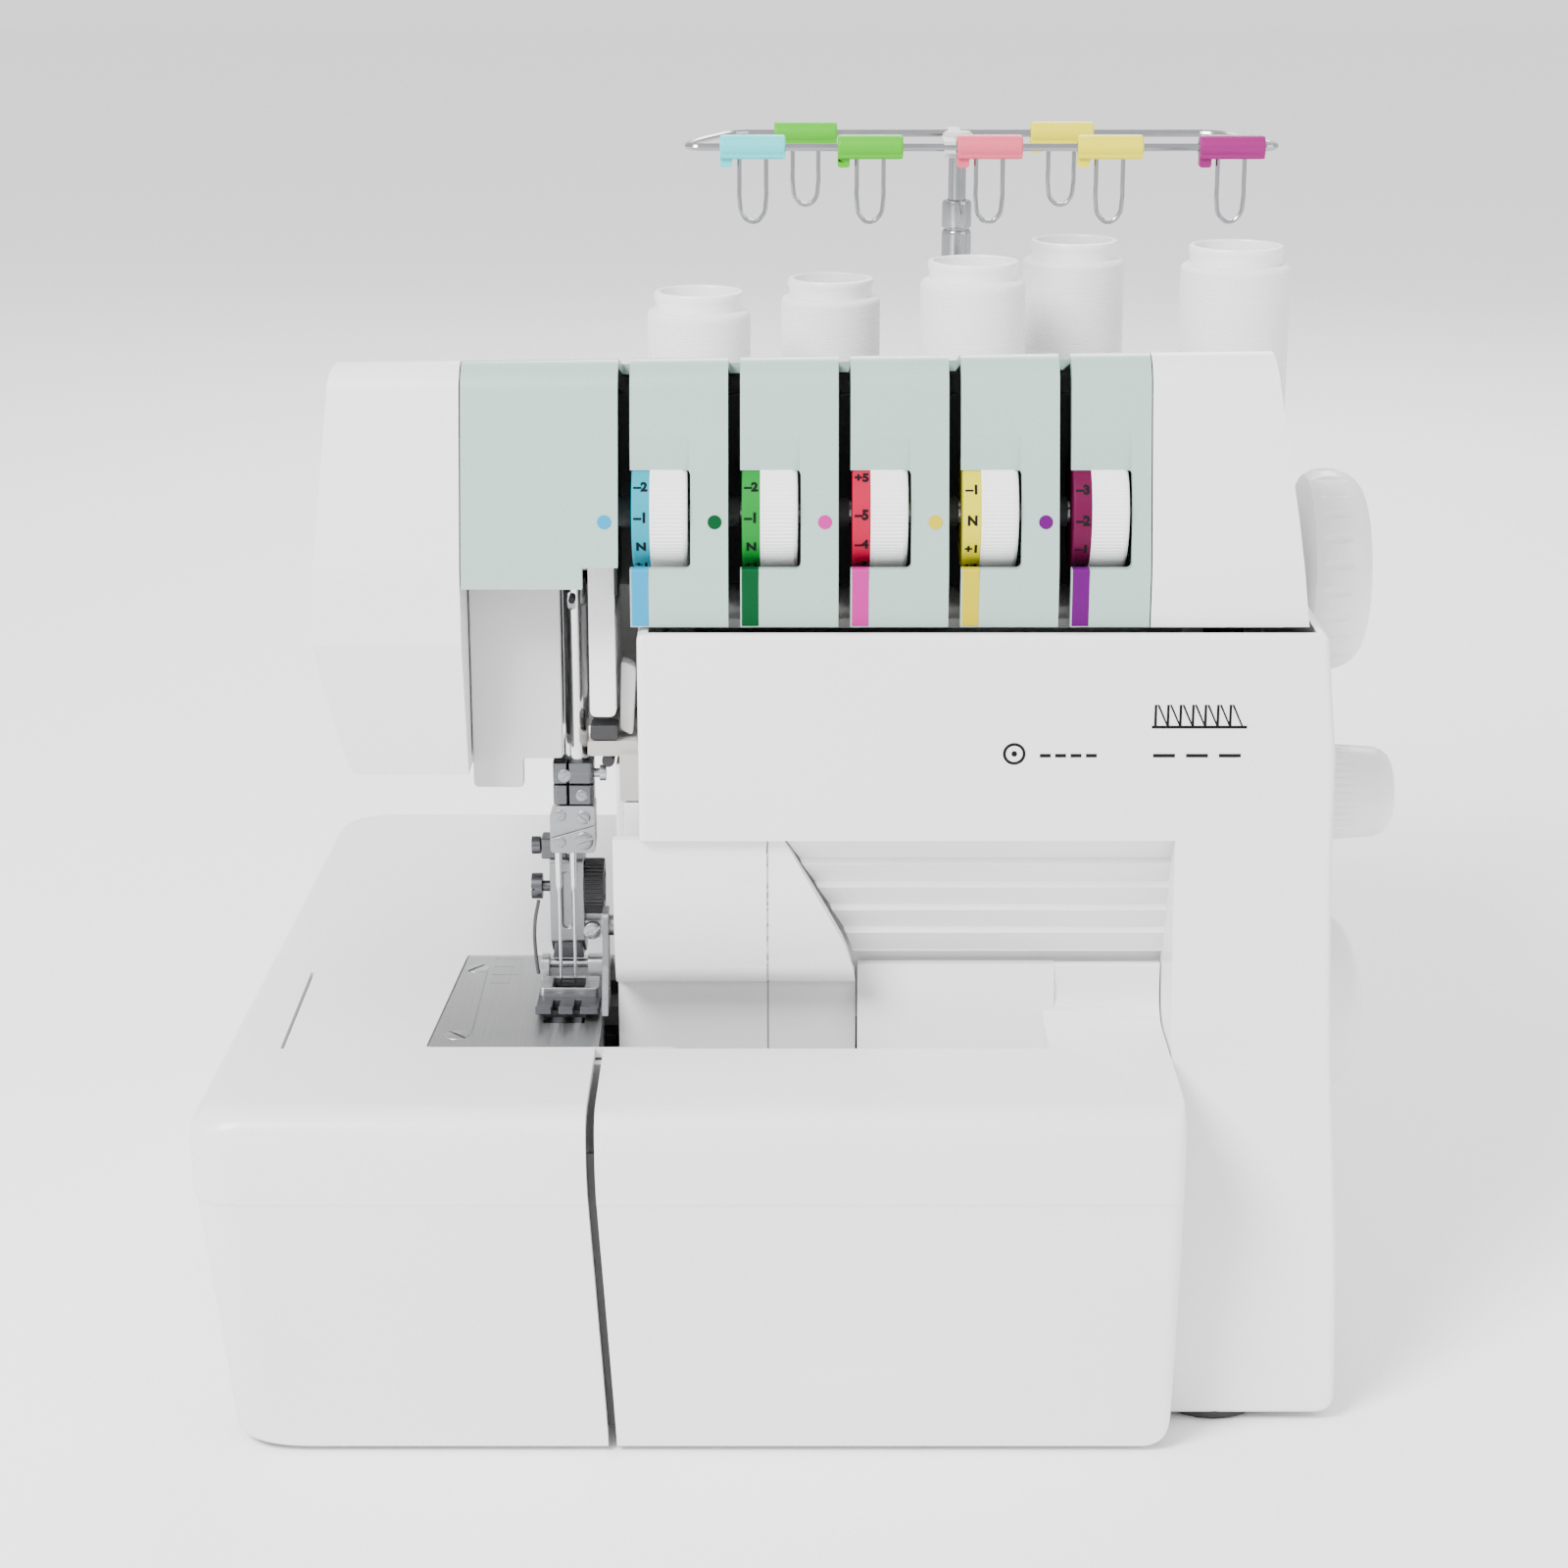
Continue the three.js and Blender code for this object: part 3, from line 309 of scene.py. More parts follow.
def star_ring(at, radii, teeth):
    """A toothed outline. Each tooth steps through radii."""
    circle = around((0, 0), 1, teeth * len(radii))
    steps = list(radii) * teeth
    return [(at[0] + r * u, at[1] + r * v) for r, (u, v) in zip(steps, circle)]


def stack(rings):
    """A closed solid skinned over rings of 3-D points, its faces turned outwards."""
    count = len(rings[0])
    faces = []
    for r in range(len(rings) - 1):
        a, b = r * count, (r + 1) * count
        for k in range(count):
            n = (k + 1) % count
            faces.append((a + k, a + n, b + n, b + k))
    faces.append(tuple(range(count)))
    faces.append(tuple(range((len(rings) - 1) * count, len(rings) * count)))
    mesh = bpy.data.meshes.new("solid")
    mesh.from_pydata([tuple(p) for ring in rings for p in ring], [], faces)
    bm = bmesh.new()
    bm.from_mesh(mesh)
    bmesh.ops.remove_doubles(bm, verts=bm.verts, dist=1e-4)
    bmesh.ops.recalc_face_normals(bm, faces=bm.faces)
    bm.to_mesh(mesh)
    bm.free()
    return linked("solid", mesh)


def prism(axis, corners, start, end, steps=10):
    ring = outline(corners, steps)
    return stack([[PLACE[axis](p.x, p.y, w) for p in ring] for w in (start, end)])


def box(x0, x1, y0, y1, z0, z1):
    return prism("z", rect(x0, x1, y0, y1), z0, z1)


def turned(axis, at, profile, sides=64):
    """A turned solid: profile is (radius, distance along the axis), closed through the axis."""
    return stack([[PLACE[axis](u, v, w) for u, v in around(at, r, sides)] for r, w in profile])


def rod(axis, at, radius, start, end, sides=32):
    return turned(axis, at, [(radius, start), (radius, end)], sides)


def evaluated_mesh(obj):
    graph = bpy.context.evaluated_depsgraph_get()
    return bpy.data.meshes.new_from_object(obj.evaluated_get(graph))


def meshed(curve):
    """The solid that a curve or a text makes."""
    made = linked("curve", curve)
    mesh = evaluated_mesh(made)
    bpy.data.objects.remove(made)
    return linked("curve", mesh)


def tube_path(points, radius, sides=12):
    """A round wire that follows a smooth curve through points."""
    curve = bpy.data.curves.new("wire", "CURVE")
    curve.dimensions = "3D"
    curve.bevel_depth = radius
    curve.bevel_resolution = max(1, sides // 4 - 1)
    curve.use_fill_caps = True
    spline = curve.splines.new("BEZIER")
    spline.bezier_points.add(len(points) - 1)
    for knot, point in zip(spline.bezier_points, points):
        knot.co = point
        knot.handle_left_type = knot.handle_right_type = "AUTO"
    spline.resolution_u = 10
    return meshed(curve)


def label(text, size):
    """Lettering centred on the origin, facing +Z."""
    curve = bpy.data.curves.new("label", "FONT")
    curve.body = text
    curve.size = size
    curve.align_x = "CENTER"
    curve.align_y = "CENTER"
    curve.extrude = 0.08
    curve.offset = size * 0.05
    curve.resolution_u = 3
    return meshed(curve)


def apply_modifiers(obj):
    mesh = evaluated_mesh(obj)
    obj.modifiers.clear()
    obj.data = mesh
    return obj


def boolean(operation, base, others):
    for other in others:
        modifier = base.modifiers.new(operation, "BOOLEAN")
        modifier.operation = operation
        modifier.solver = "MANIFOLD"
        modifier.object = other
    apply_modifiers(base)
    for other in others:
        bpy.data.objects.remove(other)
    return base


def cut(base, *others):
    return boolean("DIFFERENCE", base, others)


def fuse(base, *others):
    return boolean("UNION", base, others)


def common(base, *others):
    return boolean("INTERSECT", base, others)


def soften(obj, width, angle=40, segments=3):
    """Rounds every edge sharper than angle."""
    modifier = obj.modifiers.new("soften", "BEVEL")
    modifier.width = width
    modifier.segments = segments
    modifier.limit_method = "ANGLE"
    modifier.angle_limit = math.radians(angle)
    modifier.miter_outer = "MITER_ARC"
    return apply_modifiers(obj)


def gather(*objects):
    """One object from several that don't have to touch."""
    bm = bmesh.new()
    for obj in objects:
        bm.from_mesh(obj.data)
        bpy.data.objects.remove(obj)
    mesh = bpy.data.meshes.new("gathered")
    bm.to_mesh(mesh)
    bm.free()
    return linked("gathered", mesh)


def moved(obj, matrix):
    obj.data.transform(matrix)
    return obj


def finish(obj, name, body, material, replaced=None, smooth=32, edge=0.0):
    """Edge rounding, shading, scale to metres, material, and the piece's place in the frame."""
    if edge:
        soften(obj, edge)
    obj.data.shade_smooth()
    obj.data.set_sharp_from_angle(angle=math.radians(smooth))
    weighted = obj.modifiers.new("weighted", "WEIGHTED_NORMAL")
    weighted.keep_sharp = True
    apply_modifiers(obj)
    obj.data.transform(Matrix.Scale(MM, 4))
    obj.name = name
    obj.data.name = name
    obj.data.materials.clear()
    obj.data.materials.append(MATERIALS[material])
    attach(obj, body)
    if replaced:
        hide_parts(replaced)


def dress(node, body, material, edge):
    """A CAD node whose shape is right, with its edges eased."""
    bm = bmesh.new()
    bm.from_mesh(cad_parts[node].data)
    bmesh.ops.remove_doubles(bm, verts=bm.verts, dist=2e-6)
    bmesh.ops.scale(bm, vec=(1 / MM,) * 3, verts=bm.verts)
    bmesh.ops.dissolve_limit(
        bm, angle_limit=math.radians(1), verts=bm.verts, edges=bm.edges, delimit=set()
    )
    mesh = bpy.data.meshes.new(node)
    bm.to_mesh(mesh)
    bm.free()
    finish(linked(node, mesh), node + "_piece", body, material, node, edge=edge)


def screw_head(axis, at, radius, face, direction, turn=0.0, cross=False):
    """A domed screw head whose rim lies at face and whose dome rises along direction (+1 or -1)."""
    rise = radius * 0.32
    deep = face + direction * rise * 0.35
    profile = [(radius * 0.96, face - direction * 0.6), (radius, deep)]
    for k in range(1, 6):
        t = k / 6
        height = face + direction * rise * (0.35 + 0.65 * t)
        profile.append((radius * math.cos(t * math.pi / 2 * 0.9), height))
    head = turned(axis, at, profile, 32)
    top = face + direction * rise * 2
    reach = radius * (0.62 if cross else 1.3)
    for angle in (turn, turn + math.pi / 2) if cross else (turn,):
        cut(head, prism(axis, driver_slot(at, angle, reach, radius * 0.13), min(deep, top), max(deep, top)))
    return head


def driver_slot(at, angle, reach, half):
    """Corners of a screwdriver slot through at."""
    c, s = math.cos(angle), math.sin(angle)
    corners = ((-reach, -half), (reach, -half), (reach, half), (-reach, half))
    return [(at[0] + c * u - s * v, at[1] + s * u + c * v) for u, v in corners]


# ---- bed: extension and looper cover
WALL = 3
BED_TOP, BED_BOTTOM, BED_CREASE = 102, 1.8, 77
BED_LEFT, BED_RIGHT, BED_FRONT, BED_BACK = -169.35, 98.5, -173, 105
BED_ROUND, BED_CORNER = 10, 14
# Middle line (x, z) of the wavy gap between the two bed covers.
SPLIT = smooth_curve([(-60.7, 130), (-60.7, 96), (-60.4, 78), (-58.6, 46), (-56.3, 4), (-56.3, -10)])
SPLIT_HALF = 1.2
NOTCH_RIGHT, NOTCH_FRONT = 65.2, -123.4
LIP_Y, LIP_TOP, LIP_LEFT = -98, 118, 12


def bed_levels(inset):
    """(z, pull in at the front, pull in at the left) up the bed's side, with a soft crease."""
    levels = []
    for k in range(7):
        t = k / 6
        left_in = 15 - 7.4 * math.sin(t * math.pi / 2)
        levels.append((BED_BOTTOM - inset + 4 * t * t, 5.9 - 0.2 * t, left_in))
    for z in (30, 55, 70):
        share = (BED_CREASE - z) / (BED_CREASE - BED_BOTTOM)
        levels.append((z, 0.7 + 5.3 * share, 0.7 + 7.3 * share))
    levels += [(75.6, 0.75, 0.8), (76.4, 0.3, 0.32), (77, 0, 0), (86, 0, 0)]
    drop = BED_ROUND - inset / 2
    for k in range(9):
        t = k / 8
        levels.append((BED_TOP - inset - drop * (1 - t) ** 2, drop * t * t, drop * t * t))
    return levels


def bed_form(inset, right, right_round=0):
    """The bed as far as right: its outside, or its inside with an inset."""
    rings = []
    for z, front_in, left_in in bed_levels(inset):
        front, left = BED_FRONT + inset + front_in, BED_LEFT + inset + left_in
        back = BED_BACK - inset - (front_in if z > 90 else 0)
        corners = [
            (left, front, BED_CORNER), (right, front, right_round),
            (right, back), (left + 7, back, BED_CORNER),
        ]
        rings.append([(p.x, p.y, z) for p in outline(corners, 8)])
    return stack(rings)


def make_bed_extension():
    far = -40
    shell = cut(bed_form(0, far), bed_form(WALL, far + 5))
    side = [(x - SPLIT_HALF, z) for x, z in SPLIT] + [(far, -10), (far, 130)]
    cut(shell, prism("y", side, BED_FRONT - 5, NOTCH_FRONT + 0.8))
    plate_opening = [(-109.4, -122.2, 1.6), (far, -122.2), (far, -45.6), (-104.7, -45.6, 1.6)]
    cut(shell, prism("z", plate_opening, 90, 110, 4))
    cut(shell, box(-56.9, far + 1, -47, 110, -1, 110))
    cut(shell, box(-109.5, far + 1, -47, -45.7, 40, 98.9))
    cut(shell, box(-150.05, -149, -123.4, -61, 90, 110))
    finish(shell, "extension_shell", "bed_extension", "white", "bed_extension", edge=0.5)
    # Near-black strip behind the wavy gap between the bed covers: painted shade, so the gap reads dark.
    strip = [(-163.2, 6), (-169.2, 74), (-169.5, 90), (-168.3, 90), (-168, 74), (-162, 6)]
    finish(prism("x", strip, -64, -54), "extension_gap_shade_strip", "bed_extension", "dark", edge=0.2)
    # Near-black sheet under the slit in the top: painted shade inside the slit.
    liner = box(-150.6, -148.4, -124, -60.4, 98.2, 98.9)
    finish(liner, "extension_slit_shade", "bed_extension", "slot", edge=0.1)


def make_looper_cover():
    far = -75
    form = common(
        bed_form(0, BED_RIGHT, 4), box(far, BED_RIGHT + 1, BED_FRONT - 1, LIP_Y + WALL, 0, 200)
    )
    cut(form, bed_form(WALL, BED_RIGHT - WALL))
    cut(form, box(far, NOTCH_RIGHT, NOTCH_FRONT, LIP_Y + 20, 84, 130))
    side = [(x + SPLIT_HALF, z) for x, z in reversed(SPLIT)] + [(far, 130), (far, -10)]
    cut(form, prism("y", side, BED_FRONT - 5, BED_BACK))
    lip_back, under, middle = LIP_Y + WALL, BED_TOP - WALL, BED_TOP - WALL / 2
    lip = [
        (-112, under), (-112, BED_TOP - 0.05), (LIP_Y, BED_TOP - 0.05, 11),
        (LIP_Y, LIP_TOP, 1), (lip_back, LIP_TOP, 1), (lip_back, under),
    ]
    pocket = [
        (NOTCH_FRONT - WALL, middle), (NOTCH_FRONT - WALL, 80, 4), (LIP_Y - 4, 80, 4),
        (lip_back, LIP_TOP), (LIP_Y, LIP_TOP), (LIP_Y - 6, 84, 6),
        (NOTCH_FRONT, 83, 3), (NOTCH_FRONT, middle),
    ]
    fuse(
        form,
        prism("x", lip, NOTCH_RIGHT, BED_RIGHT, 14),
        prism("x", pocket, LIP_LEFT, NOTCH_RIGHT + WALL, 14),
        box(NOTCH_RIGHT, NOTCH_RIGHT + WALL, NOTCH_FRONT, LIP_Y + WALL / 2, 82, BED_TOP - 1),
    )
    cut(form, box(far, BED_RIGHT + 1, -153, 0, 0, 14.5))
    right = [(far, 1.6), (97, 1.6, 9), (BED_RIGHT, 60), (BED_RIGHT, 130), (far, 130)]
    common(form, prism("y", right, -200, 0))
    finish(form, "looper_cover_shell", "looper_cover", "white", "looper_cover", edge=0.9)


# ---- body covers
RIGHT_EDGE = [(138.8, 220), (142.2, 186), (143.6, 98)]
LOW_RIGHT = 145.5
BODY_TOP, BODY_BOTTOM, BODY_FRONT, BODY_BACK, UPPER_BACK = 220, 2.6, -119, 100, 70
BODY_LEFT = -56.5
PANEL_LEFT, PANEL_BOTTOM = -49, 161.6
COLUMN_LEFT = 98.9
# Height from the table up to which the base tray stands inside the covers.
TRAY_TOP = 14.6
# Axes (y, z) of the controls on the right.
HANDWHEEL_AXIS, STITCH_AXIS, FEED_AXIS = (-30, 218), (-60, 158), (-45, 87)
SHAFT_HOLE = 5


def right_view(inset):
    """Front view of the covers' right edge, from the bottom up."""
    low = (LOW_RIGHT - inset, BODY_BOTTOM - inset, 6)
    return [low, *[(x - inset, z) for x, z in reversed(RIGHT_EDGE)]]


def front_of_body(inset):
    spare = 0 if inset else 4
    column_left, panel_bottom = COLUMN_LEFT + inset - spare, PANEL_BOTTOM + inset - spare
    front_view = [
        (column_left, BODY_BOTTOM - inset), *right_view(inset),
        (PANEL_LEFT + inset, BODY_TOP), (PANEL_LEFT + inset, panel_bottom), (column_left, panel_bottom),
    ]
    back = 5 if inset else 0
    side_view = [
        (-150 + inset, BODY_BOTTOM - inset), (-147 + inset, 50, 24),
        (BODY_FRONT + inset, 125, 44), (BODY_FRONT + inset, BODY_TOP + inset),
        (back, BODY_TOP + inset), (back, BODY_BOTTOM - inset),
    ]
    return common(prism("x", side_view, -60, 150, 20), prism("y", front_view, -160, 10))


def handwheel_hole():
    return rod("x", HANDWHEEL_AXIS, 7, 120, 160)


def make_front_cover():
    form = soften(front_of_body(0), 3.4, 30, 5)
    cut(form, box(-80, COLUMN_LEFT, -170, 20, -10, PANEL_BOTTOM))
    dial_holes = [rod("x", axis, SHAFT_HOLE, 120, 160) for axis in (STITCH_AXIS, FEED_AXIS)]
    cut(form, front_of_body(WALL), handwheel_hole(), *dial_holes)
    cut(form, box(PANEL_LEFT - 10, COLUMN_LEFT - 1, -100, 5, 150, PANEL_BOTTOM + 4))
    cut(form, box(COLUMN_LEFT - 1, COLUMN_LEFT + 3.5, -93, 5, 0, 215))
    cut(form, box(COLUMN_LEFT - 1, COLUMN_LEFT + 3.5, -147, 5, 0, TRAY_TOP))
    cut(form, box(PANEL_LEFT - 5, 160, -0.1, 6, 0, 230))
    finish(form, "front_shell", "machine", "white", "front_cover", edge=0.3)


def rear_of_body(inset):
    left = BODY_LEFT + inset
    front_view = [(left, BODY_BOTTOM - inset), *right_view(inset), (left, BODY_TOP)]
    start = -5 if inset else 0.4
    step = 180 - inset
    side_view = [
        (start, BODY_BOTTOM - inset), (BODY_BACK - inset, BODY_BOTTOM - inset),
        (BODY_BACK - inset, step, 10), (UPPER_BACK - inset, step),
        (UPPER_BACK - inset, BODY_TOP + inset), (start, BODY_TOP + inset),
    ]
    return common(prism("x", side_view, -60, 150, 12), prism("y", front_view, -10, 120))


def make_rear_cover():
    form = soften(rear_of_body(0), 3.4, 30, 5)
    cut(form, rear_of_body(WALL))
    cut(form, box(BODY_LEFT - 3, 160, -1, 0.4, 0, 230))
    cut(form, box(130, 150, 58, 78, 29, 47), box(130, 150, 24, 44, 29, 47))
    cut(form, box(BODY_LEFT - 1, BODY_LEFT + 4, -1, BODY_BACK - WALL, 0, TRAY_TOP))
    for row in range(9):
        z = 44 + row * 7
        for left in (70, -34):
            cut(form, prism("y", rect(left, left + 48, z, z + 2.6, 1.2), 90, 110, 4))
    recesses = [(-46, 24), (-46, 160), (132, 24), (130, 160)]
    for at in recesses:
        cut(form, rod("y", at, 5.2, 98.2, 110, 40))
    cut(form, prism("y", rect(26, 60, 40, 104, 3), 99.5, 101, 5))
    finish(form, "rear_shell", "machine", "white", "rear_cover")
    heads = [
        screw_head("y", at, 3.6, 98.4, 1, 0.5 + 0.4 * i, cross=True) for i, at in enumerate(recesses)
    ]
    finish(gather(*heads), "rear_screws", "machine", "steel", edge=0.08)
    plate = prism("y", rect(27, 59, 41, 103, 2.4), 99.5, 100, 5)
    finish(plate, "rear_rating_plate", "machine", "grey", edge=0.1)
    # Near-black plates behind the rear vents: painted shade seen through the vents.
    backing = [box(left, left + 54, 94.5, 95.5, 41, 108) for left in (67, -37)]
    finish(gather(*backing), "vent_shade_backing", "machine", "slot", edge=0.2)


GUARD_TOP = 161
GUARD_SIDE = [
    (-116.5, GUARD_TOP), (-116, 138, 10), (-109, 116, 6), (-96, 113, 3), (-96, 84),
    (-93, 84), (-93, 116), (-106, 120), (-113, GUARD_TOP),
]
# Front view of the edge where the smooth guard meets the ribs.
RIB_CURVE = smooth_curve([(-9, GUARD_TOP), (-3, 150), (4, 137), (9, 126), (11.4, 112), (11.4, 80)])
RIB_COUNT = 5


def make_bay_guard():
    guard = prism("x", GUARD_SIDE, BODY_LEFT, 30, 20)
    kept = [(BODY_LEFT - 1, 80), (BODY_LEFT - 1, GUARD_TOP + 1), *RIB_CURVE]
    common(guard, prism("y", kept, -130, -80))
    behind = moved(prism("x", GUARD_SIDE, -14.5, -12.5, 20), Matrix.Translation((0, 1, 0)))
    cut(guard, cut(prism("x", GUARD_SIDE, -13.9, -13.3, 20), behind))
    finish(guard, "bay_guard_curve", "machine", "white", "bay_guard", edge=0.35)
    make_bay_ribs()
    backing = box(-20, 101.4, -93.1, -91.8, 100, 164)
    cheek = box(-54, -47, -98, -96.5, 142, 166)
    finish(gather(backing, cheek), "bay_backing", "machine", "white", edge=0.2)
    side_wall = box(BODY_LEFT, BODY_LEFT + WALL, -93, 0, TRAY_TOP, 176)
    cut(side_wall, rod("x", (-30, 62), 9, BODY_LEFT - 5, BODY_LEFT + 5))
    cut(side_wall, box(BODY_LEFT - 5, BODY_LEFT + 5, -59, -47, 83, 93))
    finish(side_wall, "bay_side_wall", "machine", "white", "bay_guard", edge=0.4)


def make_bay_ribs():
    top, foot = (-115.5, GUARD_TOP), (-99, 121.6)
    face = []
    for i in range(RIB_COUNT + 1):
        y, z = (top[k] + (foot[k] - top[k]) * i / RIB_COUNT for k in (0, 1))
        face += [(y + 1.7, z + 0.7), (y, z - 0.5)]
    side = [*face[1:-1], (foot[0] + 1.6, foot[1]), (foot[0] + 4, foot[1]), (top[0] + 4, top[1])]
    ribs = soften(prism("x", side, -12, COLUMN_LEFT + 2), 0.35, 30, 2)
    above = GUARD_TOP + 5
    outside = [(-40, 80), (-40, above), (-9.5, above), *[(x + 0.5, z) for x, z in RIB_CURVE]]
    cut(ribs, prism("y", outside, -130, -80))
    finish(ribs, "bay_ribs", "machine", "white", "bay_guard", edge=0.15)


# ---- head, tension cover and top
HEAD_TOP, HEAD_BOTTOM, HEAD_LEFT, HEAD_SEAM = 293.6, 176, -138.4, -97
SEAM_RIGHT, MINT_RIGHT = HEAD_SEAM + 0.4, 90.4
UPPER_BOTTOM, FOLD_Z = BODY_TOP + 1, 216
SLOT_FIRST, SLOT_PITCH, SLOT_WIDTH, SLOT_COUNT = -52.4, 29.9, 3.3, 5
DIAL_AXIS, DIAL_RADIUS, DIAL_WIDTH = (-97, 249.5), 15.6, 15.2
WINDOW_BOTTOM, WINDOW_TOP = 237, 262.6
# The front slopes back by LEAN_Y over LEAN_Z above the edge (LEAN_FRONT, LEAN_BOTTOM).
LEAN_FRONT, LEAN_BOTTOM, LEAN_Y, LEAN_Z = -114, 236, 13.5, 53


def slot_x(i):
    """Middle of the thread slot of path i."""
    return SLOT_FIRST + i * SLOT_PITCH


def upper_side(inset, bottom):
    fold = [(-113.8 + inset, bottom)]
    if bottom < FOLD_Z:
        fold = [(-103.5 + inset, bottom), (-113.7 + inset, FOLD_Z, 0 if inset else 0.6)]
    low = bottom - (4 if inset else 0)
    inner_corner = [(-110 + inset, low)] if inset else []
    return [
        *inner_corner, *fold, (LEAN_FRONT + inset, LEAN_BOTTOM, 3),
        (-100.5 + inset, 289 - inset, 1 if inset else 3.5),
        (-94, HEAD_TOP - inset, 1 if inset else 4),
        (UPPER_BACK - inset, 252 - inset, 9), (UPPER_BACK - inset, low),
    ]


def upper_front(inset, bottom):
    low = bottom - (4 if inset else 0)
    return [
        (-129.7 + inset, low, 0 if inset else 3), (134 - inset, low), (130.5 - inset, 250),
        (123.5 - inset, HEAD_TOP + 3 - inset, 6), (-132 + inset, HEAD_TOP + 1 - inset, 6),
        (HEAD_LEFT + inset, FOLD_Z, 10),
    ]


def upper_form(inset, bottom):
    """The covers above bottom, their top sloping down a little towards the left."""
    form = prism("x", upper_side(inset, bottom), HEAD_LEFT - 2, 140, 12)
    common(form, prism("y", upper_front(inset, bottom), -125, UPPER_BACK + 1, 12))
    if not inset:
        soften(form, 3, 35, 4)
    for vertex in form.data.vertices:
        rise = max(0, (vertex.co.z - 255) / 37)
        vertex.co.z -= rise * (123 - vertex.co.x) * 0.0115
    return form


def make_face_cover():
    form = common(upper_form(0, HEAD_BOTTOM), box(HEAD_LEFT - 5, HEAD_SEAM, -130, 80, 170, 300))
    inside = box(HEAD_LEFT - 5, HEAD_SEAM - 0.001, -130, 80, 160, 300)
    cut(form, common(upper_form(WALL, HEAD_BOTTOM), inside))
    finish(form, "face_shell", "machine", "white", "face_cover", edge=0.35)


def make_top_cover():
    form = common(upper_form(0, UPPER_BOTTOM), box(SEAM_RIGHT, 150, -130, 80, 200, 300))
    cut(form, upper_form(WALL, UPPER_BOTTOM))
    cut(form, box(HEAD_SEAM - 6, MINT_RIGHT + 0.4, -130, -61.6, 200, 300))
    cut(form, handwheel_hole())
    finish(form, "top_shell", "machine", "white", "top_cover", edge=0.35)


def make_tension_cover():
    form = common(upper_form(0, UPPER_BOTTOM), box(SEAM_RIGHT, MINT_RIGHT, -130, -62, 200, 300))
    cut(form, upper_form(WALL, UPPER_BOTTOM))
    cut(form, box(SEAM_RIGHT - 1, SLOT_FIRST, -130, -50, 200, 231.5))
    cut(form, box(-63.8, SLOT_FIRST, -130, -100, 200, 237.4))
    sill = WINDOW_TOP - 0.2
    scoop = [(-130, sill), (-105.3, sill), (-105.1, 268), (-104.2, 274.4, 3), (-130, 274.4)]
    for i in range(SLOT_COUNT):
        x = slot_x(i)
        right = x + SLOT_WIDTH / 2
        edge = right + DIAL_WIDTH + 1.2
        cut(form, box(x - SLOT_WIDTH / 2, right, -130, -70, 200, 300))
        cut(form, prism("x", scoop, x, edge - 0.3))
        window = [(x, WINDOW_BOTTOM), (edge, WINDOW_BOTTOM, 1.6), (edge, WINDOW_TOP, 1), (x, WINDOW_TOP)]
        cut(form, prism("y", window, -125, -85, 5))
    finish(form, "tension_shell", "machine", "mint", "tension_cover", edge=0.45)


def make_scale_marks():
    """The coloured stripe under each window and the dot beside it, proud of the cover."""
    sill = WINDOW_BOTTOM + 0.15
    skin = [
        (-113.95, 221.3), (-114.15, 236.7, 0.4), (-113.7, sill), (-110.9, sill),
        (-110.9, 236.5), (-113, 236.2), (-113, 221.3),
    ]
    dot_z = 249.4
    dot_y = LEAN_FRONT + (dot_z - LEAN_BOTTOM) / LEAN_Z * LEAN_Y
    lean = Matrix.Rotation(-math.atan(LEAN_Y / LEAN_Z), 4, "X")
    for i, name in enumerate(NAMES):
        x = slot_x(i) + SLOT_WIDTH / 2 + 0.35
        stripe = prism("x", skin, x, x + 4.6)
        finish(stripe, "stripe_" + name, "machine", "stripe_" + name, edge=0.12)
        place = Matrix.Translation((slot_x(i) - 5.3, dot_y, dot_z)) @ lean
        dot = moved(rod("y", (0, 0), 1.9, -0.12, 0.5, 40), place)
        finish(dot, "dot_" + name, "machine", "stripe_" + name, edge=0.05)


def make_tension_shade_linings():
    """Near-black walls behind the slots and windows, and sleeves over the dials' shafts: painted shade
    inside the tension cover.
    """
    middles = [slot_x(i) for i in range(SLOT_COUNT)]
    linings = [box(x - 3.6, x - 2.6, -98, -66, 226, 278) for x in middles]
    walls = [box(x + 19.45, x + 20.45, -98.5, -66, 236, 278) for x in middles]
    backs = [box(x - 3.6, x + 20, -75, -74, 224, 278) for x in middles]
    sleeves = [rod("x", DIAL_AXIS, 4.2, x - 2.4, x + 1.4) for x in middles]
    seam = box(-48, 128, -107.6, -64, 219.2, 221.8)
    finish(seam, "tension_seam_liner", "machine", "grey", edge=0.2)
    finish(gather(*linings, *walls, *backs, *sleeves), "tension_shade_linings", "machine", "slot", edge=0.15)


# Reading at the front of each dial, and how far it's turned beyond that, in degrees.
DIAL_FRONT = [-1, -1, -5, 0, -2]
DIAL_TURN = [5, 5, 8, 2, 2]
DIAL_STEP = 32
BAND_RADIUS = 15.3


